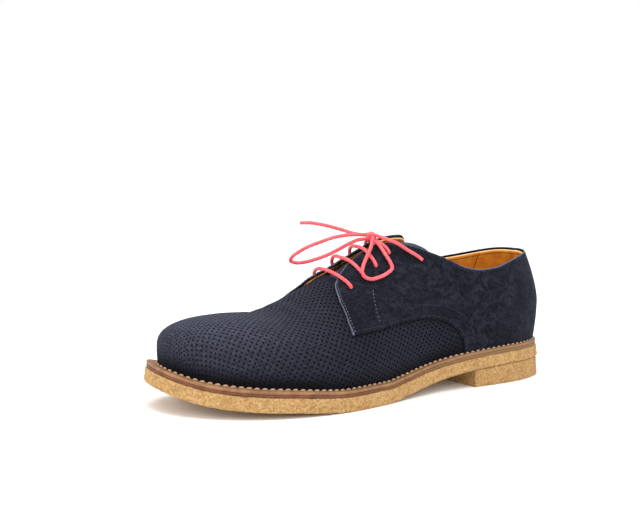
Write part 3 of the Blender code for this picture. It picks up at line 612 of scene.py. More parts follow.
class Shader:
    """A material built around one Principled shader."""

    def __init__(self, name, **constants):
        self.material = bpy.data.materials.new(name)
        self.material.use_nodes = True
        self.tree = self.material.node_tree
        self.surface = self.tree.nodes["Principled BSDF"]
        for socket, value in constants.items():
            self.surface.inputs[socket.replace("_", " ")].default_value = value
        place_node = self.add("ShaderNodeTexCoord")
        self.place = place_node.outputs["Object"]

    def add(self, kind, settings=None, inputs=None):
        """Any node: its settings first, then its sockets' values and links."""
        node = self.tree.nodes.new(kind)
        for name, value in (settings or {}).items():
            setattr(node, name, value)
        for key, value in (inputs or {}).items():
            self.feed(node.inputs[key], value)
        return node

    def feed(self, socket, value):
        source = value.socket if isinstance(value, Value) else value
        if isinstance(source, bpy.types.NodeSocket):
            self.tree.links.new(source, socket)
        else:
            socket.default_value = source

    def math(self, operation, *values):
        node = self.add("ShaderNodeMath", {"operation": operation}, dict(enumerate(values)))
        return Value(self, node.outputs[0])

    def stretched(self, scale):
        """The piece's coordinates with each axis scaled."""
        node = self.add("ShaderNodeMapping", {}, {"Vector": self.place, "Scale": scale})
        return node.outputs[0]

    def noise(self, size, detail=2.0, rough=0.5, place_on=None, distortion=0.0):
        """Cloudy noise with features about this many millimetres wide, around 0.5."""
        node = self.add("ShaderNodeTexNoise", {}, {
            "Vector": place_on or self.place, "Scale": 1 / (size * MM), "Detail": detail,
            "Roughness": rough, "Distortion": distortion})
        return Value(self, node.outputs[0])

    def cells(self, size, feature):
        """Distance within random cells about this many millimetres wide."""
        node = self.add("ShaderNodeTexVoronoi", {"feature": feature}, {
            "Vector": self.place, "Scale": 1 / (size * MM)})
        return Value(self, node.outputs["Distance"])

    def cell_shade(self, size):
        """One random number for each cell."""
        node = self.add("ShaderNodeTexVoronoi", {}, {
            "Vector": self.place, "Scale": 1 / (size * MM)})
        split = self.add("ShaderNodeSeparateColor", {}, {0: node.outputs["Color"]})
        return Value(self, split.outputs[0])

    def attribute(self, name):
        node = self.add("ShaderNodeAttribute", {"attribute_name": name})
        return Value(self, node.outputs["Fac"])

    def mix(self, factor, first, second):
        """A colour between two."""
        colours = [(*c, 1.0) if isinstance(c, tuple) and len(c) == 3 else c
                   for c in (first, second)]
        node = self.add("ShaderNodeMix", {"data_type": "RGBA"},
                        {0: factor, 6: colours[0], 7: colours[1]})
        return node.outputs[2]

    def bump(self, *layers):
        """Bump from pairs of a height and its size in millimetres."""
        normal = None
        for height, size in layers:
            sockets = {"Height": height, "Distance": size * MM}
            if normal is not None:
                sockets["Normal"] = normal
            node = self.add("ShaderNodeBump", {}, sockets)
            normal = node.outputs[0]
        self.tree.links.new(normal, self.surface.inputs["Normal"])

    def colour(self, value):
        self.feed(self.surface.inputs["Base Color"], value)

    def roughness(self, value):
        self.feed(self.surface.inputs["Roughness"], value)


# Colours.
NAVY_DARK, NAVY_LIGHT = (0.0012, 0.0014, 0.0034), (0.0175, 0.019, 0.032)
# Painted highlights: a pale line along the folded edges, and a paler toe top where the light falls
# on it.
NAVY_EDGE_HIGHLIGHT, NAVY_TOE_HIGHLIGHT = (0.15, 0.165, 0.23), (0.086, 0.089, 0.128)
NAVY_SHADE = (0.003, 0.003, 0.005)
# The tongue's suede is painted paler than the rest, as a painted highlight where it is lit from
# above.
LIT_TONGUE_DARK, LIT_TONGUE_LIGHT = (0.018, 0.019, 0.028), (0.075, 0.078, 0.11)
# The perforations' walls and floor: near black for the dark lining behind them and for painted
# shade in the hollow; paler where the toe top's painted highlight fills them in.
HOLE_DARK, HOLE_TOE_HIGHLIGHT = (0.003, 0.003, 0.005), (0.026, 0.027, 0.040)
# Painted shade: a dark disc lies over each eyelet where its hole is.
HOLE_SHADE_DARK = (0.006, 0.005, 0.006)
LINING_TAN, LINING_DEEP = (0.86, 0.34, 0.035), (0.60, 0.19, 0.014)
BEAD_TAN, BEAD_DEEP = (1.0, 0.62, 0.26), (0.95, 0.47, 0.15)
WELT_TAN, WELT_DEEP = (0.32, 0.165, 0.075), (0.20, 0.092, 0.038)
MIDSOLE_BROWN, MIDSOLE_DEEP = (0.20, 0.068, 0.026), (0.10, 0.032, 0.013)
HEEL_TAN = (0.25, 0.145, 0.060)       # welt and midsole fade to this round the heel
CREPE_DEEP, CREPE_PALE = (0.30, 0.150, 0.042), (0.60, 0.37, 0.155)
LACE_COLOUR, LACE_PALE, LACE_GROOVE_SHADE = (0.88, 0.075, 0.095), (0.95, 0.15, 0.17), (0.40, 0.012, 0.03)
WELT_THREAD_COLOUR = (0.58, 0.36, 0.21)
PALE_THREAD_COLOUR, DARK_THREAD_COLOUR = (0.14, 0.15, 0.20), (0.036, 0.039, 0.056)

# Suede: how wide its patches, fibres and flecks are, and the span of each noise over which the
# nap turns from dark to pale.
BROAD, BROAD_SPAN = 24.0, (0.36, 0.60)
PATCH, PATCH_SPAN = 6.5, (0.39, 0.63)
FIBRE, FIBRE_SPAN = 2.0, (0.38, 0.70)
FLECK, FLECK_SPAN = 1.5, (0.58, 0.72)
FUZZ, FUZZ_SPAN = 0.9, (0.46, 0.72)
BRUSHED = (1.0, 1.15, 1.3)            # the brush drew the patches out along the shoe
BROAD_SHARE = 0.7                     # the broad cloud fades the patches by this share
FIBRES_SHOW, FUZZ_SHOWS, FLECKED = 0.26, 0.30, 0.55
PATCHES_SHOW, EVEN_PALE = 0.62, 0.42  # where there are no patches an even tone stands in
# The painted highlight on the lit toe top: its even share, and how much its speckles and flecks
# add.
TOE_HIGHLIGHT_EVEN, TOE_HIGHLIGHT_SPECKLED, TOE_HIGHLIGHT_FLECKED = 0.2, 1.2, 0.5
# The painted highlight along the folded edges: its unevenness, its span from the edge and its
# strength, then how its fuzz darkens it.
FOLD_NOISE, FOLD_UNEVEN, FOLD_SPAN, FOLD_HIGHLIGHT_SHOWS = 2.2, 0.6, (1.15, 0.6), 0.9
EDGE_HIGHLIGHT_SPAN, EDGE_HIGHLIGHT_DARKER = (0.3, 0.7), 0.66
SUEDE_SHEEN, SHEEN_ROUGHNESS, SHEEN_TINT = 0.07, 0.45, (0.55, 0.60, 0.85, 1.0)
SUEDE_ROUGHNESS, PALE_SMOOTHER = 0.97, 0.08
FIBRE_BUMP, FUZZ_BUMP = 0.14, 0.22

# Leather: its clouds and scuffs, and the seams of a lining.
CLOUD, SCUFF = 9.0, 1.4
CLOUD_SPAN, SCUFF_SPAN = (0.3, 0.7), (0.62, 0.85)
FADE_SHOWS, SCUFF_SHOWS, SEAM_SHOWS = 0.7, 0.4, 0.85
SCUFF_DARKER, SHADE_DARKER, SEAM_DARKER = 0.7, 0.28, 0.22
SEAM_BELOW = 3.3                      # the seam in the lining under its bead
SEAM_SPAN, JOINT_SPAN = (0.42, 0.12), (0.40, 0.12)
PORE_BUMP, SCUFF_BUMP, SEAM_BUMP = 0.06, 0.05, 0.35

# Crepe rubber: granules, pits and clouds.
GRANULE, PIT, CREPE_CLOUD = 1.1, 0.8, 15.0
CREPE_CLOUD_SPAN, PIT_SPAN = (0.3, 0.72), (0.44, 0.30)
GRANULES_SHOW, CREPE_CLOUD_SHOWS, CREPE_EVEN = 0.75, 0.2, 0.1
PITS_SHOW, PIT_DARKER = 0.75, 0.40
GRANULE_BUMP, PIT_BUMP = 0.6, 0.45

# Lace and threads.
BRAID_THREAD, LACE_CLOUD, THREAD_CLOUD = 0.35, 7.0, 0.9
LACE_CLOUD_SPAN, GROOVE_SHADE_SPAN = (0.3, 0.7), (0.45, 0.05)
LACE_CLOUD_SHOWS, BRAID_THREAD_SHOWS, GROOVE_SHADE_SHOWS = 0.6, 0.3, 0.7
# Threads darken this much in their clouds; the toe top's painted highlight fills the perforations
# in by the second share.
THREAD_DARKER, TOE_HIGHLIGHT_FILLS = 0.45, 0.95
BRAID_BUMP, THREAD_BUMP = 0.05, 0.03


def darker(colour, share):
    return tuple(share * c for c in colour)


def make_suede(name, dark, light, edge, patchy=1.0):
    """Napped suede: brushed patches and a fine fuzz, a painted highlight on the lit toe top and
    along the folded edges, and painted shade where marked.
    """
    suede = Shader(name, Sheen_Weight=SUEDE_SHEEN, Sheen_Roughness=SHEEN_ROUGHNESS,
                   Sheen_Tint=SHEEN_TINT, Specular_IOR_Level=0.12)
    brushed = suede.stretched(BRUSHED)
    broad = suede.noise(BROAD, 2.0, 0.5)
    patches = suede.noise(PATCH, 4.0, 0.66, brushed, 0.9)
    fuzz = suede.noise(FUZZ, 2.0, 0.7)
    fibres = suede.noise(FIBRE, 3.0, 0.6)
    flecks = suede.noise(FLECK, 2.0, 0.7).smooth(*FLECK_SPAN)
    faint = broad.smooth(*BROAD_SPAN) * BROAD_SHARE + (1 - BROAD_SHARE)
    mottled = patches.smooth(*PATCH_SPAN) * faint
    speckled = fibres.smooth(*FIBRE_SPAN) * FIBRES_SHOW + fuzz.smooth(*FUZZ_SPAN) * FUZZ_SHOWS
    pale = mottled * PATCHES_SHOW * patchy + (
        EVEN_PALE * (1 - patchy) + speckled + flecks * FLECKED)
    cloth = suede.mix(pale, dark, light)
    toe_highlight = speckled * TOE_HIGHLIGHT_SPECKLED + flecks * TOE_HIGHLIGHT_FLECKED + TOE_HIGHLIGHT_EVEN
    # Painted highlight: where the toe top is marked as lit, the suede turns paler.
    cloth = suede.mix(suede.attribute("toe_lit") * toe_highlight, cloth, NAVY_TOE_HIGHLIGHT)
    uneven = (suede.noise(FOLD_NOISE, 3.0, 0.6) - 0.5) * FOLD_UNEVEN
    # A painted highlight: a pale line along the folded edges, where they catch the light.
    fold_highlight = (suede.attribute("rim") + uneven).smooth(*FOLD_SPAN)
    edge_highlight = suede.mix(fuzz.smooth(*EDGE_HIGHLIGHT_SPAN), edge, darker(edge, EDGE_HIGHLIGHT_DARKER))
    finished = suede.mix(fold_highlight * FOLD_HIGHLIGHT_SHOWS, cloth, edge_highlight)
    suede.colour(suede.mix(suede.attribute("shade"), finished, NAVY_SHADE))
    suede.roughness(SUEDE_ROUGHNESS - pale * PALE_SMOOTHER)
    suede.bump((fibres, FIBRE_BUMP), (fuzz, FUZZ_BUMP))
    return suede.material


def make_leather(name, colour, deep, grain, roughness, seamed=False):
    """Smooth leather with a fine grain and slightly uneven dye; a lining also has its seams."""
    leather = Shader(name, Specular_IOR_Level=0.35)
    pores = leather.cells(grain, "F1")
    cloud = leather.noise(CLOUD, 4.0, 0.6)
    scuff = leather.noise(SCUFF, 4.0, 0.7)
    dyed = leather.mix(cloud.smooth(*CLOUD_SPAN), colour, deep)
    dyed = leather.mix(leather.attribute("faded") * FADE_SHOWS, dyed, HEEL_TAN)
    marked = leather.mix(scuff.smooth(*SCUFF_SPAN) * SCUFF_SHOWS, dyed, darker(deep, SCUFF_DARKER))
    finished = leather.mix(leather.attribute("shade"), marked, darker(deep, SHADE_DARKER))
    layers = [(pores, PORE_BUMP), (scuff, SCUFF_BUMP)]
    if seamed:
        below = (leather.attribute("rim") - SEAM_BELOW).math("ABSOLUTE").smooth(*SEAM_SPAN)
        joint = leather.attribute("joint").math("ABSOLUTE").smooth(*JOINT_SPAN)
        sewn = below.math("MAXIMUM", joint)
        finished = leather.mix(sewn * SEAM_SHOWS, finished, darker(deep, SEAM_DARKER))
        layers.append((1 - sewn, SEAM_BUMP))
    leather.colour(finished)
    leather.roughness(roughness + scuff * 0.2 - 0.1)
    leather.bump(*layers)
    return leather.material


def make_crepe():
    """Raw crepe rubber: packed granules, amber where it is thick and pale where it is rubbed."""
    crepe = Shader("crepe_rubber", Specular_IOR_Level=0.3)
    granule = crepe.cells(GRANULE, "SMOOTH_F1")
    pits = crepe.noise(PIT, 4.0, 0.75)
    cloud = crepe.noise(CREPE_CLOUD, 2.0, 0.5).smooth(*CREPE_CLOUD_SPAN)
    rubbed = crepe.cell_shade(GRANULE) * GRANULES_SHOW + cloud * CREPE_CLOUD_SHOWS + CREPE_EVEN
    shade = crepe.mix(rubbed, CREPE_DEEP, CREPE_PALE)
    pitted = pits.smooth(*PIT_SPAN) * PITS_SHOW
    crepe.colour(crepe.mix(pitted, shade, darker(CREPE_DEEP, PIT_DARKER)))
    crepe.roughness(0.72 + pits * 0.22)
    crepe.bump((granule, GRANULE_BUMP), (pits, PIT_BUMP))
    return crepe.material


def make_lace_finish():
    """Waxed cotton braid, with painted shade in the grooves between its strands."""
    lace = Shader("waxed_braid", Specular_IOR_Level=0.45, Coat_Roughness=0.35, Coat_Weight=0.15)
    weave = lace.attribute("weave")
    thread = lace.noise(BRAID_THREAD, 2.0, 0.6)
    cloud = lace.noise(LACE_CLOUD, 3.0, 0.5).smooth(*LACE_CLOUD_SPAN)
    pale = cloud * LACE_CLOUD_SHOWS + thread * BRAID_THREAD_SHOWS
    dyed = lace.mix(pale, LACE_COLOUR, LACE_PALE)
    # Painted shade: the braid's grooves between strands turn darker.
    lace.colour(lace.mix(weave.smooth(*GROOVE_SHADE_SPAN) * GROOVE_SHADE_SHOWS, dyed, LACE_GROOVE_SHADE))
    lace.roughness(0.50 + thread * 0.18)
    lace.bump((thread, BRAID_BUMP))
    return lace.material


def make_plain(name, colour, roughness, speck, highlight_fill=None):
    """A thread, or the dark inside of a hole with its painted shade: one colour with a little
    unevenness, filled in where asked with the toe top's painted highlight.
    """
    plain = Shader(name, Specular_IOR_Level=0.2)
    cloud = plain.noise(THREAD_CLOUD, 3.0, 0.6)
    finished = plain.mix(cloud * speck, colour, darker(colour, THREAD_DARKER))
    if highlight_fill:
        # Painted highlight: where the toe top is marked as lit, its holes are filled in paler.
        finished = plain.mix(plain.attribute("toe_lit") * TOE_HIGHLIGHT_FILLS, finished, highlight_fill)
    plain.colour(finished)
    plain.roughness(roughness + cloud * 0.1)
    plain.bump((cloud, THREAD_BUMP))
    return plain.material


SUEDE = make_suede("navy_suede", NAVY_DARK, NAVY_LIGHT, NAVY_EDGE_HIGHLIGHT)
VAMP_SUEDE = make_suede("vamp_suede", NAVY_DARK, NAVY_LIGHT, NAVY_EDGE_HIGHLIGHT, patchy=0.3)
LIT_TONGUE_SUEDE = make_suede("tongue_suede", LIT_TONGUE_DARK, LIT_TONGUE_LIGHT, NAVY_EDGE_HIGHLIGHT)
LINING_LEATHER = make_leather("tan_lining", LINING_TAN, LINING_DEEP, 0.45, 0.45, seamed=True)
BEAD_LEATHER = make_leather("lining_bead", BEAD_TAN, BEAD_DEEP, 0.45, 0.5)
WELT_LEATHER = make_leather("welt_leather", WELT_TAN, WELT_DEEP, 0.5, 0.6)
DARK_LEATHER = make_leather("midsole_leather", MIDSOLE_BROWN, MIDSOLE_DEEP, 0.5, 0.6)
CREPE = make_crepe()
BRAID = make_lace_finish()
WELT_THREAD = make_plain("welt_thread", WELT_THREAD_COLOUR, 0.6, 0.5)
PALE_THREAD = make_plain("pale_thread", PALE_THREAD_COLOUR, 0.7, 0.6)
DARK_THREAD = make_plain("dark_thread", DARK_THREAD_COLOUR, 0.7, 0.6)
HOLE_SHADE = make_plain("painted_hole_shade", HOLE_SHADE_DARK, 0.9, 0.5)
PUNCHED = make_plain("punched_hole", HOLE_DARK, 0.9, 0.5, highlight_fill=HOLE_TOE_HIGHLIGHT)


# ---------------------------------------------------------------- tools for pieces
SHARP_EDGE = 55.0         # edges sharper than this are rounded
FAR = 99.0                # a mark for what lies near no fold or seam


def deselect():
    bpy.ops.object.select_all(action="DESELECT")


def only(piece):
    deselect()
    piece.select_set(True)
    bpy.context.view_layer.objects.active = piece
    return piece


def in_edit(*steps):
    """Edit-mode operators on the active piece, one after another."""
    bpy.ops.object.mode_set(mode="EDIT")
    for step in steps:
        step()
    bpy.ops.object.mode_set(mode="OBJECT")


def pick(piece, kind, chosen=None):
    """Selects only these vertices, edges or faces of a piece, or all of them."""
    mesh = piece.data
    for parts in (mesh.vertices, mesh.edges, mesh.polygons):
        parts.foreach_set("select", np.zeros(len(parts), dtype=bool))
    parts = {"VERT": mesh.vertices, "EDGE": mesh.edges, "FACE": mesh.polygons}[kind]
    chosen = np.ones(len(parts), dtype=bool) if chosen is None else chosen
    parts.foreach_set("select", np.asarray(chosen, dtype=bool))
    bpy.context.tool_settings.mesh_select_mode = [kind == k for k in ("VERT", "EDGE", "FACE")]


def corners(piece):
    """A piece's vertices as an array, in metres."""
    co = np.empty(len(piece.data.vertices) * 3, dtype=np.float32)
    piece.data.vertices.foreach_get("co", co)
    return co.reshape(-1, 3).astype(float)


def move_to(piece, points):
    """Puts a piece's vertices at table points."""
    piece.data.vertices.foreach_set("co", place(points).astype(np.float32).ravel())
    piece.data.update()


def sheet(name, columns, rows, points):
    """A grid primitive laid out over rows of points: points[column, row]."""
    deselect()
    bpy.ops.mesh.primitive_grid_add(x_subdivisions=columns - 1, y_subdivisions=rows - 1, size=2)
    piece = bpy.context.object
    piece.name = piece.data.name = name
    co = corners(piece)
    column = np.rint((co[:, 0] + 1) / 2 * (columns - 1)).astype(int)
    row = np.rint((co[:, 1] + 1) / 2 * (rows - 1)).astype(int)
    move_to(piece, np.asarray(points)[column, row])
    return piece


def merge(piece, distance=0.01):
    """Joins vertices that meet and turns the faces outwards."""
    only(piece)
    pick(piece, "VERT")
    in_edit(lambda: bpy.ops.mesh.remove_doubles(threshold=distance * MM),
            lambda: bpy.ops.mesh.normals_make_consistent(inside=False))


def flip(piece):
    only(piece)
    pick(piece, "FACE")
    in_edit(lambda: bpy.ops.mesh.flip_normals())


def close_rims(piece, fill):
    """Fills a piece's open rims and turns the faces outwards."""
    only(piece)
    bpy.context.tool_settings.mesh_select_mode = (False, True, False)
    in_edit(lambda: bpy.ops.mesh.select_all(action="DESELECT"),
            lambda: bpy.ops.mesh.select_non_manifold(extend=False),
            fill,
            lambda: bpy.ops.mesh.select_all(action="SELECT"),
            lambda: bpy.ops.mesh.normals_make_consistent(inside=False))


def modify(piece, kind, **settings):
    """A modifier, applied."""
    only(piece)
    modifier = piece.modifiers.new(kind.lower(), kind)
    for key, value in settings.items():
        setattr(modifier, key, value)
    bpy.ops.object.modifier_apply(modifier=modifier.name)


def thicken(piece, thickness):
    """Gives a sheet its thickness, inwards from its face."""
    modify(piece, "SOLIDIFY", thickness=thickness * MM, offset=-1.0)


def round_edges(piece, width, segments, held=True):
    """Rounds a piece's sharp edges; held, it stops where two roundings would meet."""
    modify(piece, "BEVEL", width=width * MM, segments=segments, limit_method="ANGLE",
           angle_limit=math.radians(SHARP_EDGE), use_clamp_overlap=held)


def smooth(piece, angle):
    """Shades a piece smooth, apart from edges sharper than an angle."""
    only(piece)
    bpy.ops.object.shade_smooth_by_angle(angle=math.radians(angle))


def finish_with(piece, finish, slot, *nodes):
    """Gives a piece its material and hides the solids it stands for; its slot is not used."""
    piece.data.materials.clear()
    for each in finish if isinstance(finish, (list, tuple)) else [finish]:
        piece.data.materials.append(each)
    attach(piece, "root")
    if nodes:
        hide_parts(*nodes)
    return piece


def mark(piece, name, values):
    """A number for each vertex that the material reads."""
    layer = piece.data.attributes.new(name, "FLOAT", "POINT")
    layer.data.foreach_set("value", np.asarray(values, dtype=np.float32))


def mark_plain(piece, *names):
    """Marks a whole piece as far from every fold or seam."""
    for name in names:
        mark(piece, name, np.full(len(piece.data.vertices), FAR))


def distance_to(points, line):
    """How far each table point lies from a line of points."""
    tree = kdtree.KDTree(len(line))
    for index, point in enumerate(np.asarray(line).tolist()):
        tree.insert(point, index)
    tree.balance()
    return np.array([tree.find(point)[2] for point in np.asarray(points).tolist()])


def joined(name, pieces):
    """Several pieces made one."""
    deselect()
    for piece in pieces:
        piece.select_set(True)
    bpy.context.view_layer.objects.active = pieces[0]
    bpy.ops.object.join()
    whole = bpy.context.object
    whole.name = whole.data.name = name
    return whole


def copies(name, model, frames):
    """One piece made of copies of a small model, each with its own mesh; frames are in metres."""
    made = []
    for frame_of in frames:
        twin = model.copy()
        twin.data = model.data.copy()
        twin.data.transform(frame_of)
        bpy.context.scene.collection.objects.link(twin)
        made.append(twin)
    return joined(name, made)


def throw_away(*models):
    for model in models:
        bpy.data.objects.remove(model, do_unlink=True)


def plump_stitch(size, segments, rings):
    """One small stitch, as a model for its row."""
    deselect()
    bpy.ops.mesh.primitive_uv_sphere_add(segments=segments, ring_count=rings, radius=0.5)
    stitch = bpy.context.object
    pick(stitch, "VERT")
    in_edit(lambda: bpy.ops.transform.resize(value=[side * MM for side in size]))
    smooth(stitch, 80.0)
    return stitch


def facing(points, forward, up):
    """Placing frames at table points: x along forward, z along up."""
    frames = []
    for point, x_axis, z_axis in zip(place(points), forward, up):
        x_axis = Vector(x_axis).normalized()
        y_axis = Vector(z_axis).cross(x_axis).normalized()
        z_axis = x_axis.cross(y_axis)
        turn = Matrix((x_axis, y_axis, z_axis)).transposed().to_4x4()
        frames.append(Matrix.Translation(Vector(point)) @ turn)
    return frames


# ---------------------------------------------------------------- camera, floor and light
CAMERA_AZIMUTH, CAMERA_RISE, CAMERA_ROLL = 144.374, 6.387, 0.955
CAMERA_AIM = (LENGTH / 2, 0.0, 40.0)
CAMERA_AWAY, CAMERA_SIDE, CAMERA_UP = 969.0, -25.037, 47.719
CAMERA_LENS, CAMERA_SENSOR = 82.65, 36.0
CAMERA_NEAR = 0.01
FLOOR_SIZE = 12.0

# The lights, in metres from the point they are turned to: the top one in the frame's own
# directions, the front and side ones by how far towards the camera, to its right and up.
LIT_POINT = (0.0, 0.0, 0.05)
WORLD_LIGHT = 1.0
TOP_PLACE, TOP_SIZE, TOP_POWER = (0.15, 0.05, 1.1), (1.1, 0.9), 9.0
FRONT_BACK, FRONT_RIGHT, FRONT_UP = 1.0, 0.45, 0.25
FRONT_SIZE, FRONT_POWER = (0.8, 0.8), 3.0
SIDE_BACK, SIDE_LEFT, SIDE_UP = 0.35, 1.1, 0.35
SIDE_SIZE, SIDE_POWER = (0.7, 0.7), 3.0


def make_camera():
    """The camera, and its directions: towards it, to its right and up."""
    turn, up_angle = math.radians(CAMERA_AZIMUTH), math.radians(CAMERA_RISE)
    back = np.array([math.sin(turn) * math.cos(up_angle), -math.cos(turn) * math.cos(up_angle),
                     math.sin(up_angle)])
    level = np.array([math.cos(turn), math.sin(turn), 0.0])
    upright = np.cross(back, level)
    roll = math.radians(CAMERA_ROLL)
    right = level * math.cos(roll) + upright * math.sin(roll)
    up = upright * math.cos(roll) - level * math.sin(roll)
    spot = np.array(CAMERA_AIM) + right * CAMERA_SIDE + up * CAMERA_UP + back * CAMERA_AWAY
    camera = bpy.data.objects.new("camera", bpy.data.cameras.new("camera"))
    bpy.context.scene.collection.objects.link(camera)
    camera.data.lens = CAMERA_LENS
    camera.data.sensor_width = CAMERA_SENSOR
    camera.data.clip_start = CAMERA_NEAR
    turned = Matrix((right, up, back)).transposed().to_4x4()
    camera.matrix_world = Matrix.Translation(Vector(place(spot))) @ turned
    bpy.context.scene.camera = camera
    return back, right


def area_light(name, spot, aim, size, power):
    light = bpy.data.lights.new(name, "AREA")
    light.shape = "RECTANGLE"
    light.size, light.size_y = size
    light.energy = power
    lamp = bpy.data.objects.new(name, light)
    bpy.context.scene.collection.objects.link(lamp)
    lamp.location = spot
    lamp.rotation_euler = (Vector(aim) - Vector(spot)).to_track_quat("-Z", "Y").to_euler()


def make_studio():
    """White floor, bright even surroundings and soft lights from above, the front and a side."""
    deselect()
    bpy.ops.mesh.primitive_plane_add(size=FLOOR_SIZE)
    floor = bpy.context.object
    floor.name = "floor"
    paper = Shader("floor_paper", Roughness=0.9, Specular_IOR_Level=0.1)
    paper.colour((1.0, 1.0, 1.0, 1.0))
    floor.data.materials.append(paper.material)
    bpy.context.scene.view_settings.view_transform = "Standard"
    world = bpy.data.worlds.new("studio")
    bpy.context.scene.world = world
    world.use_nodes = True
    world.node_tree.nodes["Background"].inputs[0].default_value = (1.0, 1.0, 1.0, 1.0)
    world.node_tree.nodes["Background"].inputs[1].default_value = WORLD_LIGHT
    back, right = (Vector(v) for v in make_camera())
    aim = Vector(LIT_POINT)
    top = aim + Vector(TOP_PLACE)
    front = aim + back * FRONT_BACK + right * FRONT_RIGHT + Vector((0, 0, FRONT_UP))
    side = aim - right * SIDE_LEFT + back * SIDE_BACK + Vector((0, 0, SIDE_UP))
    area_light("top_light", top, aim, TOP_SIZE, TOP_POWER)
    area_light("front_light", front, aim, FRONT_SIZE, FRONT_POWER)
    area_light("side_light", side, aim, SIDE_SIZE, SIDE_POWER)


make_studio()


# ---------------------------------------------------------------- laces
BRAID_AROUND = 24         # faces round the cord
BRAID_STEP = 0.35         # and the length of one ring of them
BRAID_STRANDS, BRAID_PITCH, BRAID_RELIEF = 4, 3.4, 0.13
FIRST_SIDE = (0.3, 0.2, 1.0)
CORD_END, CORD_END_LEAST = 0.3, 0.25  # an end rounds off over this share of the width, to this
CORD_STEP = 4.0           # spacing of the points on each free cord's coarse path


def braid_tube(name, line):
    """A braided round cord along a fine line of table points, with rounded ends."""
    run = along(line)
    tangent = np.gradient(line, run, axis=0)
    tangent /= np.linalg.norm(tangent, axis=1)[:, None]
    side = np.empty_like(line)
    first = np.cross(tangent[0], FIRST_SIDE)
    side[0] = first / np.linalg.norm(first)
    for i in range(1, len(line)):
        kept = side[i - 1] - tangent[i] * side[i - 1].dot(tangent[i])
        side[i] = kept / np.linalg.norm(kept)
    other = np.cross(tangent, side)
    turn = np.linspace(0, 2 * math.pi, BRAID_AROUND + 1)
    strands, twist = BRAID_STRANDS * turn[None], 2 * math.pi * run[:, None] / BRAID_PITCH
    weave = (np.maximum(np.sin(strands + twist), np.sin(strands - twist)) + 1) / 2
    radius = LACE / 2 - BRAID_RELIEF * (1 - weave)
    for left in (run, run[-1] - run):
        near = np.clip(left / (LACE * CORD_END), 0, 1)
        radius = radius * np.maximum(np.sqrt(1 - (1 - near) ** 2), CORD_END_LEAST)[:, None]
    points = (line[:, None] + side[:, None] * (radius * np.cos(turn))[..., None]
              + other[:, None] * (radius * np.sin(turn))[..., None])
    piece = sheet(name, len(line), len(turn), points)
    where = {tuple(np.round(p, 7)): w for p, w in zip(
        place(points.reshape(-1, 3)).astype(np.float32).astype(float), weave.ravel())}
    mark(piece, "weave", [where.get(tuple(np.round(p, 7)), 0.5) for p in corners(piece)])
    merge(piece, 0.004)
    close_rims(piece, lambda: bpy.ops.mesh.edge_face_add())
    smooth(piece, 60.0)
    return piece


def make_bow():
    """The free cords: two loops that start and end in the knot, and two ends."""
    for name, route in BOW.items():
        line = smooth_route(route, BRAID_STEP)
        cord = finish_with(braid_tube(name + "_braid", line), BRAID, "waxed_lace", name)
        path = place(smooth_route(route, CORD_STEP))
        length = float(along(place(line))[-1])
        far_end = "knot" if "loop" in name else "bare"
        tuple(path[0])


def lace_over(x, y, extra=0.0):
    """Middle of a lace that lies on the facings."""
    return over(x, y, STEP + float(rise(x, y)) + LACE_LIFT + LACE / 2 + extra)[0][0]


DIP_END = 0.4             # a lace's hidden end stands this far over the last
DIP_BEND = -0.9           # and bends down this far from where the lace lies
BAR_SHARES = np.linspace(0.07, 0.93, 9)
BAR_LEAN = 5              # a power that leans the bars' arches to the inner side
RISE_SHARES = (0.12, 0.35, 0.58)
RISE_LIFT = 1.6


def dip(x, y):
    """The two points that turn a lace down into an eyelet."""
    return [over(x, y, DIP_END)[0][0], lace_over(x, y, DIP_BEND)]


def make_bars():
    """Straight bars across the gap, and the top pair of ends that rise to the knot."""
    for number, x0, y0, x1, y1, arch in EYELETS.rows[:-1]:
        route = dip(x0, y0)
        route += [lace_over(x0 + (x1 - x0) * t, y0 + (y1 - y0) * t,
                            arch * math.sin(math.pi * t ** BAR_LEAN) ** 2)
                  for t in BAR_SHARES]
        route += dip(x1, y1)[::-1]
        bar = braid_tube("bar_braid_%d" % number, smooth_route(route, BRAID_STEP))
        finish_with(bar, BRAID, "waxed_lace", "lace_bar_%d" % number)
    top = EYELETS.rows[-1]
    for side, x, y in (("outer", top[1], top[2]), ("inner", top[3], top[4])):
        route = dip(x, y)
        route += [lace_over(x + (KNOT[0] - x) * t, y + (KNOT[1] - y) * t, RISE_LIFT * t)
                  for t in RISE_SHARES]
        route.append(np.array(KNOT) + [0.0, math.copysign(KNOT_FLANK[0], y), -KNOT_FLANK[1]])
        riser = braid_tube("rise_braid_" + side, smooth_route(route, BRAID_STEP))
        finish_with(riser, BRAID, "waxed_lace", "lace_rise_" + side)


make_bow()
make_bars()

KNOT_BAND_AT = (140.6, -0.2, 100.3)
KNOT_BAND = (2.9, 2.35)   # half its length and half its height
KNOT_BAND_ADVANCE = 0.9   # how far the band moves across in half a turn
KNOT_TURN = (-0.66, 0.6, 40)          # the turns it starts and ends at, and its points
KNOT_STRANDS = [
    [(144.2, -3.0, 101.6), (142.8, -1.0, 102.0), (141.3, 0.8, 102.1), (138.2, 4.6, 101.0)],
    [(142.2, 4.1, 100.1), (141.6, 1.5, 100.3), (141.0, -1.5, 100.4), (140.0, -6.3, 100.7)],
    [(144.2, -2.6, 98.9), (142.2, -1.2, 98.6), (141.5, 1.0, 98.5), (143.0, 4.6, 98.2)],
    [(138.6, 3.9, 97.2), (139.0, 1.5, 99.2), (139.0, -1.5, 99.2), (138.6, -4.3, 97.2)]]


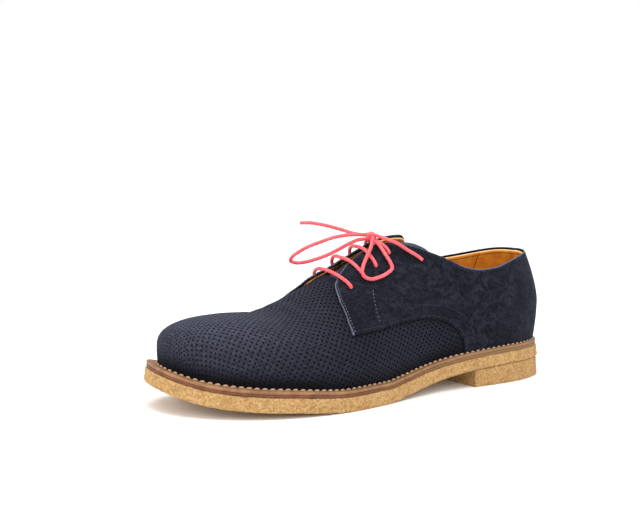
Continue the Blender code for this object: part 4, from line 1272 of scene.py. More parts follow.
def make_knot():
    """The knot: a band drawn over the roots of the loops and ends, and the strands under it."""
    turns = np.linspace(*KNOT_TURN) * 2 * math.pi
    band = np.array(KNOT_BAND_AT) + np.column_stack([
        KNOT_BAND[0] * np.sin(turns), KNOT_BAND_ADVANCE * turns / math.pi,
        KNOT_BAND[1] * np.cos(turns)])
    pieces = [braid_tube("knot_strand", smooth_route(strand, BRAID_STEP))
              for strand in [band] + KNOT_STRANDS]
    finish_with(joined("knot_braid", pieces), BRAID, "waxed_lace", "lace_knot")


make_knot()

EYELET_SIDES = 24
EYELET_DISC = 0.3         # the dark disc's thickness
EYELET_LIP, LIP_SIDES = 0.22, 6
LIP_OUT = 0.05            # the lip's middle stands this far outside the hole
EYELET_LIFT = 0.02


def make_eyelets():
    """Punched holes: a disc of painted shade under each lace and a thin rolled lip of suede round
    it.
    """
    deselect()
    bpy.ops.mesh.primitive_cylinder_add(vertices=EYELET_SIDES, radius=EYELET / 2 * MM,
                                        depth=EYELET_DISC * MM)
    disc = bpy.context.object
    bpy.ops.mesh.primitive_torus_add(major_segments=EYELET_SIDES, minor_segments=LIP_SIDES,
                                     major_radius=(EYELET / 2 + LIP_OUT) * MM,
                                     minor_radius=EYELET_LIP * MM)
    lip = bpy.context.object
    smooth(lip, 60.0)
    spots = []
    for row in EYELETS.rows:
        spots += [(row[1], row[2]), (row[3], row[4])]
    frames = []
    for x, y in spots:
        point, normal = over(x, y, STEP + float(rise(x, y)) + EYELET_LIFT)
        forward = np.cross([0.0, 1.0, 0.0], normal[0])
        frames += facing(point, [forward], [normal[0]])
    finish_with(copies("eyelet_holes", disc, frames), HOLE_SHADE, "suede")
    lips = copies("eyelet_lips", lip, frames)
    mark_plain(lips, "rim")
    finish_with(lips, SUEDE, "suede")
    throw_away(disc, lip)


make_eyelets()


# ---------------------------------------------------------------- sole unit
def closed(line):
    return np.vstack([line, line[:1]])


def ring_points(profile, stations):
    """A closed round of sections: the profile gives each row's inset and its height."""
    steps = np.linspace(0, PLAN_STEPS, stations + 1) % PLAN_STEPS
    rows = []
    for inset, height in profile:
        looped = closed(inset_plan(inset))
        at = np.column_stack([np.interp(steps, np.arange(PLAN_STEPS + 1), column)
                              for column in looped.T])
        rows.append(np.column_stack([at, height(*at.T)]))
    return np.stack(rows, axis=1)


def filled(name, points):
    """A closed band of sections with its two open rims filled across by flat caps."""
    piece = sheet(name, points.shape[0], points.shape[1], points)
    merge(piece)
    close_rims(piece, lambda: bpy.ops.mesh.fill_holes(sides=0))
    return piece


FINER_LUMPS, FINER_SHARE = 2.3, 0.5


def roughen(piece, size, height):
    """Small lumps pushed in and out along the surface, as in crumbled rubber or cut fibre."""
    mesh = piece.data
    co = corners(piece)
    normals = np.empty(len(mesh.vertices) * 3, dtype=np.float32)
    mesh.vertex_normals.foreach_get("vector", normals)
    normals = normals.reshape(-1, 3)
    lumps = np.array([noise.noise(Vector(p) / (size * MM)) + FINER_SHARE * noise.noise(
        Vector(p) * FINER_LUMPS / (size * MM)) for p in co.tolist()])
    mesh.vertices.foreach_set("co", (co + normals * (lumps * height * MM)[:, None])
                              .astype(np.float32).ravel())
    mesh.update()


CREPE_STATIONS, SIDE_ROWS = 800, 9
CREPE_SOFT, CREPE_CORNER = 0.7, 0.25  # how far its edges are rounded, in two facets
CREPE_CAP = (14.0, 5.0)   # rows of its flat faces, this far in from the outline
CREPE_FLARE = 0.5         # at the ground the wall stands this far outside the outline
CREPE_TOP_IN = 0.6        # and at its top inside it, by this share of that
CREPE_LUMP, CREPE_LUMP_SIZE = 0.34, 2.1


def crepe_slab(name, bottom, top, node, front=None):
    """A layer of crepe rubber with a soft edge and a granular side, or its part behind a line."""
    rows = [(inset, bottom) for inset in (*CREPE_CAP, 1.6, CREPE_SOFT - CREPE_FLARE)]
    rows.append((0.2 - CREPE_FLARE, lambda x, y: bottom(x, y) + CREPE_CORNER))
    for share in np.linspace(0, 1, SIDE_ROWS):
        rows.append((CREPE_FLARE * ((1 + CREPE_TOP_IN) * share - 1), lambda x, y, t=share: (
            (bottom(x, y) + CREPE_SOFT) * (1 - t) + (top(x, y) - CREPE_SOFT) * t)))
    top_in = CREPE_FLARE * CREPE_TOP_IN
    rows.append((0.3 + top_in, lambda x, y: top(x, y) - CREPE_CORNER))
    rows += [(inset, top) for inset in (CREPE_SOFT + top_in, 1.8, *CREPE_CAP[::-1])]
    piece = filled(name, ring_points(rows, CREPE_STATIONS))
    if front is not None:
        only(piece)
        pick(piece, "FACE")
        in_edit(lambda: bpy.ops.mesh.bisect(
            plane_co=place([front, 0.0, 0.0]), plane_no=(1, 0, 0), use_fill=True,
            clear_outer=True))
    roughen(piece, CREPE_LUMP_SIZE, CREPE_LUMP)
    smooth(piece, 50.0)
    return finish_with(piece, CREPE, "crepe", node)


crepe_slab("crepe_sole", crepe_bottom, crepe_top, "outsole")
crepe_slab("crepe_heel", lambda x, y: 0.0 * x, lambda x, y: crepe_bottom(x, y) - GAP,
           "heel_block", front=BREAST)

EDGE_SOFT, EDGE_BELLY = 0.3, 0.05     # a strip's cut edge is rounded and swells a little
EDGE_ROWS = (1.2, 2.4)                # rows of its top that follow the edge
EDGE_LUMP_SIZE = 1.3
FADED = [(20.0, 1.0), (95.0, 0.85), (150.0, 0.25), (185.0, 0.0)]      # along the shoe


def leather_ring(name, low, high, width, finish, slot, node, lump):
    """A flat strip of leather round the shoe with a cut and slightly fibrous edge."""
    edge = WELT_SET_IN
    rows = [(edge + width, low), (edge + EDGE_SOFT, low),
            (edge, lambda x, y: low(x, y) + EDGE_SOFT),
            (edge - EDGE_BELLY, lambda x, y: (low(x, y) + high(x, y)) / 2),
            (edge, lambda x, y: high(x, y) - EDGE_SOFT), (edge + EDGE_SOFT, high)]
    rows += [(edge + further, high) for further in (*EDGE_ROWS, width)]
    points = ring_points(rows, PLAN_STEPS // 2)
    points = np.concatenate([points, points[:, :1]], axis=1)
    piece = sheet(name, points.shape[0], points.shape[1], points)
    merge(piece)
    roughen(piece, EDGE_LUMP_SIZE, lump)
    smooth(piece, 45.0)
    mark(piece, "faded", np.interp(unplace(corners(piece))[:, 0], *zip(*FADED)))
    return finish_with(piece, finish, slot, node)


leather_ring("midsole_edge", lambda x, y: crepe_top(x, y) + GAP * 0.2,
             lambda x, y: midsole_top(x, y) + GAP * 0.4, 12.0, DARK_LEATHER, "dark_leather",
             "midsole", 0.10)
leather_ring("welt_strip", lambda x, y: midsole_top(x, y) + GAP * 0.6, welt_top, 9.0,
             WELT_LEATHER, "welt_leather", "welt", 0.07)

BEAD_SIZE = (3.3, 1.4, 1.6)
BEAD_PITCH = 4.7
BEAD_AWAY = 0.95          # out from the upper's feather line
BEAD_RISE = 0.2


def make_beads():
    """The welt's stitches: plump light threads lying along its inner edge."""
    bead = plump_stitch(BEAD_SIZE, 8, 6)
    line = closed(inset_plan(feather_edge() - BEAD_AWAY))
    count = int(along(line)[-1] / BEAD_PITCH)
    spots = evenly(line, count + 1)[:-1]
    forward = np.roll(spots, -1, axis=0) - np.roll(spots, 1, axis=0)
    points = np.column_stack([spots, welt_top(*spots.T) + BEAD_RISE])
    frames = facing(points, np.column_stack([forward, np.zeros(count)]),
                    np.tile([0.0, 0.0, 1.0], (count, 1)))
    beads = copies("welt_stitches", bead, frames)
    throw_away(bead)
    finish_with(beads, WELT_THREAD, "thread")


make_beads()


# ---------------------------------------------------------------- edges of the quarters
BOTH = ("inner", "outer")
SIGN = {"outer": 1, "inner": -1}      # the inner stations count backwards from the heel
COLLAR_FRONT, FACING_BACK = 142.0, 97.0
OPEN_ROW = SKIN_ROWS - 1.5            # where no edge crosses them, stations run up to here


def topline_rows(side, stations):
    """For each station the row where the raised surface meets the collar's or facing's edge."""
    sign = SIGN[side]
    index = (sign * stations).astype(int) % STATION_COUNT
    points = SKIN.points[index] + SKIN.normals[index] * (
        STEP + rise(SKIN.points[index][..., 0], SKIN.points[index][..., 1]))[..., None]
    x, y, z = points[..., 0], points[..., 1], points[..., 2]
    past_collar = (z > TOPLINE.at(side, x)) & (x < COLLAR_FRONT)
    past_facing = (sign * y < sign * FACING.at(side, x)) & (x > FACING_BACK)
    over_z = np.where(x < COLLAR_FRONT, z - TOPLINE.at(side, x), -1.0)
    over_y = np.where(x > FACING_BACK, sign * (FACING.at(side, x) - y), -1.0)
    rows = []
    for crossing, amount in ((past_collar, over_z), (past_facing, over_y)):
        row = np.full(len(index), OPEN_ROW)
        for i in range(len(index)):
            hit = np.flatnonzero(crossing[i])
            if len(hit) and hit[0] > 0:
                j = hit[0]
                low, high = amount[i, j - 1], amount[i, j]
                row[i] = j - 1 + np.clip(low / (low - high), 0, 1) if high != low else j
        rows.append(row)
    return np.minimum(*rows)


TOE_MARGIN = 5            # stations at the toe's tip that belong to neither side
EDGE_MARGIN, SEAM_MARGIN = 30, 10     # and stations at the heel that edges and seams keep off
SWEEP_STEP, FRONT_POINTS, RUN_IN_POINTS = 0.1, 60, 30


def find_on_side(side, line, margin):
    """Stations and rows on one side for a line drawn on the side view."""
    if side == "outer":
        return SKIN.find(SKIN.side_view, line, np.arange(margin, TOE_STATION - TOE_MARGIN))
    half = np.arange(TOE_STATION + TOE_MARGIN, STATION_COUNT - margin)
    return SKIN.find(SKIN.side_view, line, half) - [STATION_COUNT, 0]


def front_line(side):
    """The quarter's lower sweep and front edge as stations and rows, from the welt upwards."""
    x = QUARTER_EDGE.column("x")
    if side == "inner":
        x = x + QUARTER_EDGE.column("inner_forward")
    z = QUARTER_EDGE.column("z")
    steps = QUARTER_EDGE.column("step")
    sweep = np.arange(TAB_CORNER + 1, steps[-1] + SWEEP_STEP / 10, SWEEP_STEP)
    curve = np.column_stack([
        hermite(steps[TAB_CORNER + 1:], line[TAB_CORNER + 1:], np.gradient(line[TAB_CORNER + 1:]),
                sweep) for line in (x, z)])[::-1]
    front = evenly(np.column_stack([x, z])[TAB_CORNER::-1], FRONT_POINTS)
    run_in = evenly(np.vstack([curve[-1:], front[:1]]), RUN_IN_POINTS)
    return find_on_side(side, np.vstack([curve[:-1], run_in[:-1], front]), EDGE_MARGIN)


FOOT_HIDDEN = 3.0         # rows of the quarters that stand down in the welt
TOPLINE_REACH = 0.8       # the topline is over within this share of the way to the toe
TAB_TURN = (0.8, 0.6)     # the tab's corner is the furthest point forward and down
FOOT_POINTS, HEEL_POINTS = 160, 40


def quarter_lines(side):
    """The four edges of a quarter as stations and rows: foot, front, top and heel."""
    line = front_line(side)
    sign = SIGN[side]
    to_toe = TOE_STATION if side == "outer" else STATION_COUNT - TOE_STATION
    stations = np.arange(0, to_toe * TOPLINE_REACH)
    rows = topline_rows(side, stations)
    foot_row = -SKIN_FOOT / (RIDGE_ROW - SKIN_FOOT) * (SKIN_ROWS - 1) - FOOT_HIDDEN
    begin = np.flatnonzero(line[:, 1] > foot_row)[0]
    line = line[begin:]
    limit = np.interp(sign * line[:, 0], stations, rows)
    corner = np.flatnonzero(line[:, 1] >= limit)
    corner = corner[0] if len(corner) else len(line) - 1
    line = line[:corner + 1]
    points = SKIN.at(line, STEP, raised=True)
    tab = np.argmax(points[:, 0] * TAB_TURN[0] - points[:, 2] * TAB_TURN[1])
    foot_stations = np.linspace(0, sign * line[0, 0], FOOT_POINTS)[:-1]
    foot = np.column_stack([sign * foot_stations, np.full(len(foot_stations), foot_row)])
    foot = np.vstack([foot, line[:tab + 1]])
    front = line[tab:]
    end = sign * line[-1, 0]
    top_stations = np.concatenate([np.arange(0, end), [end]])
    top = np.column_stack([sign * top_stations, np.interp(top_stations, stations, rows)])
    top[-1] = line[-1]
    heel = np.column_stack([np.zeros(HEEL_POINTS),
                            np.linspace(foot_row, top[0, 1], HEEL_POINTS)])
    return foot, front, top, heel


def measured(line, count):
    """A line of stations and rows at even steps over the surface."""
    return evenly(line, count, SKIN.at(line, STEP, raised=True))


LINES = {side: quarter_lines(side) for side in BOTH}
STATION_NUDGE = 1e-5      # keeps two stations of an edge from being the same
COLUMN_POINTS = 60
LINING_DEEPER = [(112.0, 0.0), (122.0, 3.2), (156.0, 3.2), (170.0, 0.0)]      # at the facings


def rising(line):
    """A line's stations made strictly growing, so that it can be read at any station."""
    stations = np.maximum.accumulate(np.abs(line[:, 0]))
    return stations + np.arange(len(line)) * STATION_NUDGE


def side_grid(side, columns, rows, away):
    """A quarter as columns of places, from the heel to the tab's corner, set in all round.

    Each column stands at one station, between the quarter's foot or sweep and its upper edge.
    The columns crowd where an edge is steep.
    """
    foot, front, top, _ = LINES[side]
    if away:
        foot, front = (set_in(line, away * inward(side, "front")) for line in (foot, front))
        deeper = np.interp(SKIN.at(top)[:, 0], *zip(*LINING_DEEPER))
        top = set_in(top, (away + deeper) * inward(side, "top"))
    upper = np.vstack([top[:-1], front[::-1]])
    stations = np.concatenate([np.abs(measured(line, columns // 2)[:, 0])
                               for line in (foot, upper)])
    stations = np.unique(np.round(np.clip(stations, 0, abs(front[0, 0])), 2))
    low = np.interp(stations, rising(foot), foot[:, 1])
    high = np.maximum(np.interp(stations, rising(upper), upper[:, 1]), low)
    grid = np.empty((len(stations), rows, 2))
    for i, station in enumerate(stations):
        column = np.column_stack([np.full(COLUMN_POINTS, SIGN[side] * station),
                                  np.linspace(low[i], high[i], COLUMN_POINTS)])
        grid[i] = measured(column, rows)
    return grid


def quarters_grid(columns, rows, away=0.0):
    """Both quarters as one grid from the inner front edge round the heel to the outer one."""
    inner, outer = (side_grid(side, columns, rows, away) for side in BOTH)
    return np.concatenate([inner[::-1], outer[1:]])


def points_of(grid_of_places, lift, raised=True):
    """A grid of stations and rows as a grid of points over the surface."""
    columns, rows = grid_of_places.shape[:2]
    points = SKIN.at(grid_of_places.reshape(-1, 2), lift, raised=raised)
    return points.reshape(columns, rows, 3)


SET_IN_END = 1.01         # lines that are set in stay this much inside the last row


def set_in(line, away):
    """A line of stations and rows moved sideways over the raised surface, in millimetres."""
    def at(places):
        return SKIN.at(places, STEP, raised=True)

    by_station = at(line + [HALF, 0]) - at(line - [HALF, 0])
    by_row = at(line + [0, HALF]) - at(line - [0, HALF])
    moved = np.cross(np.gradient(at(line), axis=0), np.cross(by_station, by_row))
    moved *= (away / np.maximum(np.linalg.norm(moved, axis=1), TINY))[:, None]
    a, b, c = ((u * v).sum(axis=1) for u, v in (
        (by_station, by_station), (by_station, by_row), (by_row, by_row)))
    u, v = (by_station * moved).sum(axis=1), (by_row * moved).sum(axis=1)
    area = np.maximum(a * c - b * b, TINY)
    found = line + np.column_stack([(c * u - b * v) / area, (a * v - b * u) / area])
    found[:, 1] = np.clip(found[:, 1], 0, SKIN_ROWS - SET_IN_END)
    return found


def inward(side, edge):
    """The sign that takes set_in() from an edge towards the middle of its quarter."""
    return SIGN[side] if edge == "top" else -SIGN[side]


def edge_line(side, edge, count, away=0.0):
    """A quarter's top or front edge in even steps, set in by a distance."""
    line = measured(LINES[side][2 if edge == "top" else 1], count)
    return set_in(line, away * inward(side, edge)) if away else line


def both_edges(edge, count, lift):
    """Points along the top or front edges of both quarters, at a height over the last."""
    return np.vstack([SKIN.at(edge_line(side, edge, count), lift, raised=True) for side in BOTH])


QUARTER_COLUMNS, QUARTER_ROWS = 260, 52
SLIVER = 0.08             # the grid's corners this near to each other are merged
DOUBLE = 0.003
QUARTER_ROUNDED = 0.42
TOP_MARKS, FRONT_MARKS = 500, 90
RIM_OUT, RIM_FRONT = 0.35, 0.15       # the folds' painted highlights lie this far out and behind
# The outer collar's painted fold highlight is pushed this much further off, along the shoe.
RIM_DULL = [(84.0, 0.0), (94.0, 0.35), (150.0, 0.5), (160.0, 0.1)]


def fold_marks(points):
    """How far points lie from the folded edges, for their painted highlight; on the outer collar it
    shows less ahead.
    """
    tops = both_edges("top", TOP_MARKS, STEP + RIM_OUT)
    fronts = both_edges("front", FRONT_MARKS, STEP - QUARTER / 2)
    top = distance_to(points, tops)
    dull = np.interp(points[:, 0], *zip(*RIM_DULL)) * (points[:, 1] > 0)
    return np.minimum(top + dull, distance_to(points, fronts) + RIM_FRONT)


def make_quarters():
    """The two quarters in one piece of suede, their edges rounded, marked for a painted highlight
    along the top and front edges.
    """
    places = quarters_grid(QUARTER_COLUMNS, QUARTER_ROWS)
    piece = sheet("quarter_suede", places.shape[0], places.shape[1],
                  points_of(places, STEP))
    merge(piece, SLIVER)
    thicken(piece, QUARTER)
    round_edges(piece, QUARTER_ROUNDED, 3)
    merge(piece, DOUBLE)
    smooth(piece, 50.0)
    mark(piece, "rim", fold_marks(unplace(corners(piece))))
    finish_with(piece, SUEDE, "suede", "upper")


make_quarters()

STITCH_SIZE, STITCH_PITCH = (1.6, 0.55, 0.42), 2.35
SEAM_IN = 1.7             # seams run this far in from the quarters' edges
SWEEP_FROM = 86.0         # the sweep's seam starts here
SWEEP_PAST = 0.2          # and leaves out this hindmost share of the quarter's foot
FRONT_SEAM_FROM = 172.0   # ahead of this the top edge's seam is in the front's paler thread
SEAM_POINTS = 80
# The inner row of the sweep, the counter's seam at the heel, and the short one behind the tab,
# which is in pale thread: their x and z on a side view.
SEAM_ROWS = [
    [(136.0, 59.2), (127.0, 59.0), (118.0, 58.0), (105.0, 55.7), (97.0, 52.4), (87.6, 46.0),
     (83.8, 40.4), (80.6, 32.4), (79.0, 23.5)],
    [(44.0, 72.0), (44.6, 64.0), (46.6, 54.0), (48.4, 44.0), (48.0, 34.0)],
    [(162.0, 71.5), (165.6, 64.0), (167.3, 58.0), (167.6, 53.5), (166.2, 50.4)]]


def drawn_seam(side, points):
    """A line drawn on a side view as stations and rows on that side's quarter."""
    route = smooth_route(np.insert(points, 1, 0.0, axis=1), 1.0)
    return find_on_side(side, evenly(route[:, [0, 2]], SEAM_POINTS), SEAM_MARGIN)


def edge_seam(side, edge, line, count):
    """A seam just inside an edge of the quarter."""
    return set_in(measured(line, count), SEAM_IN * inward(side, edge))


def make_stitches():
    """Rows of small stitches sunk in the suede."""
    hidden, shown = [], []
    for side in ("outer", "inner"):
        foot, front, top, _ = LINES[side]
        sweep = foot[np.abs(foot[:, 0]) > abs(foot[-1, 0]) * SWEEP_PAST]
        sweep = sweep[SKIN.at(sweep)[:, 0] > SWEEP_FROM]
        hidden.append(edge_seam(side, "front", sweep, count=200))
        ahead = SKIN.at(top)[:, 0] > FRONT_SEAM_FROM
        hidden.append(edge_seam(side, "top", top[~ahead], count=400))
        shown.append(np.vstack([edge_seam(side, "top", top[ahead], count=100),
                                edge_seam(side, "front", front, count=30)[-2::-1]]))
        hidden += [drawn_seam(side, line) for line in SEAM_ROWS[:-1]]
        shown.append(drawn_seam(side, SEAM_ROWS[-1]))
    stitch = plump_stitch(STITCH_SIZE, 6, 5)
    for name, rows, finish in (("dark_stitches", hidden, DARK_THREAD),
                               ("pale_stitches", shown, PALE_THREAD)):
        frames = []
        for line in rows:
            length = along(SKIN.at(line, STEP, raised=True))[-1]
            line = measured(line, int(length / STITCH_PITCH))[1:-1]
            points = SKIN.at(line, STEP, raised=True)
            frames += facing(points, np.gradient(points, axis=0), SKIN.normal(line))
        finish_with(copies(name, stitch, frames), finish, "thread")
    throw_away(stitch)


make_stitches()


# ---------------------------------------------------------------- vamp
def in_polygon(points, polygon):
    """Which flat points lie inside a closed line."""
    inside = np.zeros(len(points), dtype=bool)
    following = np.roll(polygon, -1, axis=0)
    for (x0, y0), (x1, y1) in zip(polygon.tolist(), following.tolist()):
        if y0 != y1:
            spans = (points[:, 1] > min(y0, y1)) & (points[:, 1] <= max(y0, y1))
            inside ^= spans & (points[:, 0] < x0 + (points[:, 1] - y0) * (x1 - x0) / (y1 - y0))
    return inside


VAMP_PATTERN, VAMP_MIDDLE = 330.0, 200.0      # width of the punched sheet, and its middle
VAMP_BACK = 84.0          # the vamp's wings end under the quarters
VAMP_TUCK = 5.0           # and run this far in beneath their edges
THROAT_EDGE = 174.0       # its turned edge between the facings
THROAT_HIGH = 45.0        # the throat is whatever stands this far above the welt
THROAT_CUT = 0.4          # it is cut off this many pitches ahead of the turned edge
THROAT_PLAIN = 1.2        # and has no holes within this many
COVERED_PUNCHED = 0.5     # nor further than this many under a quarter
VAMP_FOOT = 0.5           # it stands down in the welt by this share of its thickness
HOLE_LIP = 0.05
EDGE_POINTS = 400
# A painted highlight on the toe top, where the light falls: its strength along the shoe and up from
# the welt.
TOE_LIT_ALONG = [(185.0, 0.0), (225.0, 0.35), (255.0, 0.8), (285.0, 1.0)]           # along the shoe
TOE_LIT_UP = [(0.0, 0.15), (10.0, 0.45), (22.0, 0.7), (30.0, 1.0)]            # up from the welt
FOOT_SHADE = [(0.6, 1.0), (3.4, 0.93), (6.5, 0.5), (12.0, 0.0)]               # up from the welt
EDGE_SHADE = [(0.0, 0.95), (0.9, 0.7), (2.2, 0.0)]                            # from a quarter
COVERED_SHADE = 0.9


def under_quarter(places):
    """Which places lie beneath a quarter, and how far from its lower and front edges."""
    stations = (places[:, 0] + STATION_COUNT / 2) % STATION_COUNT - STATION_COUNT / 2
    covered = np.zeros(len(places), dtype=bool)
    surface = SKIN.at(places, STEP, raised=True)
    edges = []
    for side in ("outer", "inner"):
        foot, front, top, heel = LINES[side]
        outline = np.vstack([foot, front[1:], top[::-1][1:], heel[::-1][1:-1]])
        covered |= in_polygon(np.column_stack([stations, places[:, 1]]), outline)
        ahead = top[SKIN.at(top)[:, 0] > FLARE]
        edges += [SKIN.at(measured(line, EDGE_POINTS), STEP, raised=True)
                  for line in (foot, front, ahead)]
    return covered, distance_to(surface, np.vstack(edges))


VAMP_STATIONS = np.flatnonzero(SKIN.points[:, 0, 0] > VAMP_BACK)      # on both sides of the toe


def vamp_faces(vamp):
    """Where each face of the flat vamp comes to lie: surface, height, quarters over it, miss."""
    centres = unplace([face.center for face in vamp.data.polygons])[:, :2]
    places = SKIN.find(SKIN.drawn, centres, VAMP_STATIONS)
    miss = np.linalg.norm(SKIN.read(SKIN.drawn, places) - centres, axis=1)
    surface = SKIN.at(places)
    covered, away = under_quarter(places)
    return surface, welt_top(*surface.T[:2]), covered, away, miss


def make_vamp():
    """The vamp: punched flat on the diagonal, then drawn over the last."""
    count = int(VAMP_PATTERN / HOLE_PITCH)
    deselect()
    bpy.ops.mesh.primitive_grid_add(
        x_subdivisions=count, y_subdivisions=count, size=count * HOLE_PITCH * MM,
        location=place([VAMP_MIDDLE, LAST.at("middle", VAMP_MIDDLE), 0.0]),
        rotation=(0, 0, math.pi / 4))
    vamp = bpy.context.object
    vamp.name = vamp.data.name = "punched_vamp"
    bpy.ops.object.transform_apply(location=True, rotation=True, scale=True)
    surface, foot, covered, away, miss = vamp_faces(vamp)
    gone = (miss > HOLE_PITCH) | (surface[:, 2] < foot - WELT * VAMP_FOOT)
    gone |= covered & (away > VAMP_TUCK)
    throat = surface[:, 2] > foot + THROAT_HIGH
    gone |= ~covered & (surface[:, 0] < THROAT_EDGE + HOLE_PITCH * THROAT_CUT) & throat
    gone |= surface[:, 0] < VAMP_BACK
    pick(vamp, "FACE", gone)
    in_edit(lambda: bpy.ops.mesh.delete(type="FACE"))
    surface, foot, covered, away, miss = vamp_faces(vamp)
    throat = surface[:, 2] > foot + THROAT_HIGH
    punched = surface[:, 2] > foot + HOLE_WIDTH
    punched &= ~(covered & (away > HOLE_PITCH * COVERED_PUNCHED))
    punched &= ~((surface[:, 0] < THROAT_EDGE + HOLE_PITCH * THROAT_PLAIN) & throat)
    pick(vamp, "FACE", punched)
    corner = HOLE_WIDTH / (2 + math.sqrt(2))
    in_edit(lambda: bpy.ops.mesh.inset(thickness=(HOLE_PITCH - HOLE_WIDTH) / 2 * MM, depth=0,
                                       use_individual=True),
            lambda: bpy.ops.mesh.bevel(offset=corner * MM, affect="VERTICES", segments=1))
    pick(vamp, "FACE", [len(p.vertices) == 8 for p in vamp.data.polygons])
    in_edit(lambda: bpy.ops.mesh.inset(thickness=HOLE_LIP * MM, depth=-HOLE_DEPTH * MM,
                                       use_individual=True))
    deep = [p.center.z < -HOLE_LIP * MM for p in vamp.data.polygons]
    flat = unplace(corners(vamp))
    places = SKIN.find(SKIN.drawn, flat[:, :2], VAMP_STATIONS)
    move_to(vamp, SKIN.at(places, flat[:, 2]))
    finish_with(vamp, [VAMP_SUEDE, PUNCHED], "suede", "upper")
    vamp.data.polygons.foreach_set("material_index", np.array(deep, dtype=np.int32))
    smooth(vamp, 45.0)
    mark_plain(vamp, "rim")
    points = unplace(corners(vamp))
    above = points[:, 2] - welt_top(*points.T[:2])
    # Painted highlight: how much paler the toe top is painted.
    toe = np.interp(points[:, 0], *zip(*TOE_LIT_ALONG)) * np.interp(above, *zip(*TOE_LIT_UP))
    mark(vamp, "toe_lit", toe)
    covered, away = under_quarter(places)
    beside = np.where(covered, COVERED_SHADE, np.interp(away, *zip(*EDGE_SHADE)))
    mark(vamp, "shade", np.maximum(np.interp(above, *zip(*FOOT_SHADE)), beside))


make_vamp()

THROAT_ACROSS = np.linspace(16.0, -18.0, 60)
THROAT_BOW = 0.004        # the turned edge curves forward towards its ends
# Its section: how far ahead of the edge, and how far over the last.
THROAT_SECTION = [(0.6, -1.9), (-0.05, -1.4), (-0.25, -0.6), (0.0, 0.0), (0.5, 0.32), (1.3, 0.42),
                  (2.6, 0.42), (3.6, 0.36), (4.4, 0.22), (4.9, -0.1)]


def make_throat_band():
    """The vamp's turned edge, where it closes over the tongue between the facings."""
    points = np.empty((len(THROAT_ACROSS), len(THROAT_SECTION), 3))
    for j, (ahead, lift) in enumerate(THROAT_SECTION):
        edge = THROAT_EDGE + ahead + THROAT_BOW * THROAT_ACROSS ** 2
        points[:, j] = over(edge, THROAT_ACROSS, lift)[0]
    band = sheet("throat_band", len(THROAT_ACROSS), len(THROAT_SECTION), points)
    smooth(band, 60.0)
    mark_plain(band, "rim")
    finish_with(band, SUEDE, "suede")


make_throat_band()


# ---------------------------------------------------------------- tongue, lining and sock
TONGUE_TOP_ROWS, TONGUE_ROWS, TONGUE_COLUMNS = 30, 50, 31
TONGUE_BEND = (112, 113)  # its top's closer rows end at the first, the others start at the next
TONGUE_ROUNDED = 0.6
TONGUE_EDGE = -0.4        # its edge's painted highlight lies this far below its face


def make_tongue():
    """A suede tongue with a rounded top that leans back into the collar."""
    ends = TONGUE.column("x")[[0, -1]]
    xs = np.concatenate([np.linspace(ends[0], TONGUE_BEND[0], TONGUE_TOP_ROWS),
                         np.linspace(TONGUE_BEND[1], ends[1], TONGUE_ROWS)])
    across = np.linspace(1, -1, TONGUE_COLUMNS)
    points = np.empty((len(xs), len(across), 3))
    for i, x in enumerate(xs):
        half, middle = float(TONGUE.at("half_width", x)), float(LAST.at("middle", x))
        points[i] = over(np.full(len(across), x), middle + half * across,
                         -(WALL + TONGUE_CLEAR))[0]
        points[i, :, 2] -= float(TONGUE.at("droop", x))
    top = points[:TONGUE_TOP_ROWS]
    edge = np.vstack([points[0], top[:, 0], top[:, -1]]) + [0, 0, TONGUE_EDGE]
    tongue = sheet("tongue_suede", len(xs), len(across), points)
    flip(tongue)
    thicken(tongue, TONGUE_THICK)
    round_edges(tongue, TONGUE_ROUNDED, 3, held=False)
    smooth(tongue, 50.0)
    # A painted highlight along the tongue's edge.
    mark(tongue, "rim", distance_to(unplace(corners(tongue)), edge))
    finish_with(tongue, LIT_TONGUE_SUEDE, "suede", "tongue")


LINING_COLUMNS, LINING_ROWS = 160, 36
LINING_UNDER = 0.95       # the lining lies this far under the vamp's outside
LINING_IN = 1.5           # and its edges this far behind the quarters'
LINING_ROUNDED = 0.3
LINING_JOINT, LINING_JOINT_LEAN, LINING_JOINT_HIGH = 26.4, -0.12, 80.0
UNDER_VAMP_EVERY, UNDER_VAMP_ROWS = 5, (4, SKIN_ROWS - 3, 40)
UNDER_VAMP_HIGH = 62.0    # behind the throat it is cut off above this


def make_lining():
    """The tan lining of the quarters, and the one under the vamp."""
    places = quarters_grid(LINING_COLUMNS, LINING_ROWS, LINING_IN)
    lining = sheet("quarter_lining", places.shape[0], places.shape[1],
                   points_of(places, -LINING_UNDER))
    merge(lining, SLIVER)
    thicken(lining, LINING)
    round_edges(lining, LINING_ROUNDED, 2)
    smooth(lining, 50.0)
    points = unplace(corners(lining))
    mark(lining, "rim", distance_to(points, both_edges("top", TOP_MARKS, -LINING_UNDER - LINING)))
    mark(lining, "joint", points[:, 0] - LINING_JOINT
         - LINING_JOINT_LEAN * (points[:, 2] - LINING_JOINT_HIGH))
    finish_with(lining, LINING_LEATHER, "sock_leather", "upper")
    stations = VAMP_STATIONS[::UNDER_VAMP_EVERY].astype(float)
    rows = np.linspace(*UNDER_VAMP_ROWS)
    places = np.stack(np.meshgrid(stations, rows, indexing="ij"), axis=-1)
    under = sheet("vamp_lining", places.shape[0], places.shape[1],
                  points_of(places, -WALL, raised=False))
    middles = unplace([face.center for face in under.data.polygons])
    pick(under, "FACE", (middles[:, 0] < THROAT_EDGE) & (middles[:, 2] > UNDER_VAMP_HIGH))
    in_edit(lambda: bpy.ops.mesh.delete(type="FACE"))
    smooth(under, 50.0)
    mark_plain(under, "joint", "rim")
    finish_with(under, LINING_LEATHER, "sock_leather")


BEAD_DOWN, BEAD_IN, COLLAR_BEAD = 1.35, 1.15, 0.6     # its place below the collar, and its radius
BEAD_SHORT = 8.0          # it ends this far behind the collar's front
BEAD_POINTS, BEAD_TURN = 400, np.linspace(0, 2 * math.pi, 11)


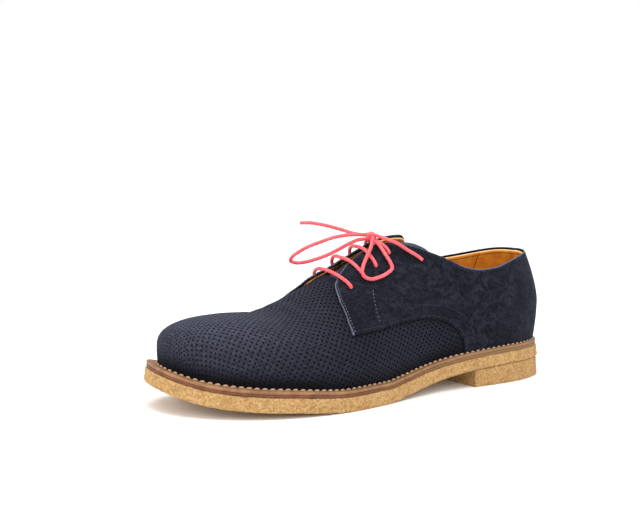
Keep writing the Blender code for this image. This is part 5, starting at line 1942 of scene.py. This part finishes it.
def make_collar_bead():
    """A roll of lining leather that edges the inside of the collar."""
    lines = []
    for side in BOTH:
        top = edge_line(side, "top", BEAD_POINTS, BEAD_DOWN)
        points = SKIN.at(top, -BEAD_IN, raised=True)
        down = SKIN.at(set_in(top, inward(side, "top")), -BEAD_IN, raised=True) - points
        down /= np.linalg.norm(down, axis=1)[:, None]
        keep = points[:, 0] < COLLAR_FRONT - BEAD_SHORT
        lines.append((points[keep], down[keep], SKIN.normal(top)[keep]))
    points, down, normal = (np.vstack([a[::-1], b[1:]])[:, None] for a, b in zip(*lines))
    turn = BEAD_TURN[None, :, None]
    ring = points + COLLAR_BEAD * (down * np.cos(turn) + normal * np.sin(turn))
    bead = sheet("collar_bead", ring.shape[0], ring.shape[1], ring)
    merge(bead)
    smooth(bead, 60.0)
    finish_with(bead, BEAD_LEATHER, "sock_leather")


SOCK_CLEAR = 0.4          # between its edge and the upper's wall
SOCK_TURN = np.linspace(0.02, math.pi - 0.02, 120)    # stations crowd towards heel and toe
SOCK_COLUMNS = 24
SOCK_DISH, SOCK_THICK = 1.1, 1.6


def make_sock():
    """The tan sock on the insole, edge to edge inside the shoe."""
    line = inset_plan(feather_edge() + WALL + SOCK_CLEAR)
    heel, toe = line[:, 0].argmin(), line[:, 0].argmax()
    line = np.roll(line, -heel, axis=0)
    toe = (toe - heel) % len(line)
    x = line[0, 0] + (line[toe, 0] - line[0, 0]) * (1 - np.cos(SOCK_TURN)) / 2
    outer = np.interp(x, line[:toe, 0], line[:toe, 1])
    inner = np.interp(x, line[toe:][::-1, 0], line[toe:][::-1, 1])
    share = np.linspace(0, 1, SOCK_COLUMNS)
    y = outer[:, None] * (1 - share) + inner[:, None] * share
    dish = SOCK_DISH * (2 * share - 1) ** 4
    z = welt_top(x[:, None], y) + INSOLE_RISE + dish[None]
    points = np.stack([np.broadcast_to(x[:, None], y.shape), y, z], axis=-1)
    sock = sheet("leather_sock", len(x), len(share), points)
    flip(sock)
    thicken(sock, SOCK_THICK)
    smooth(sock, 50.0)
    finish_with(sock, LINING_LEATHER, "sock_leather", "insole")


make_tongue()
make_lining()
make_collar_bead()
make_sock()
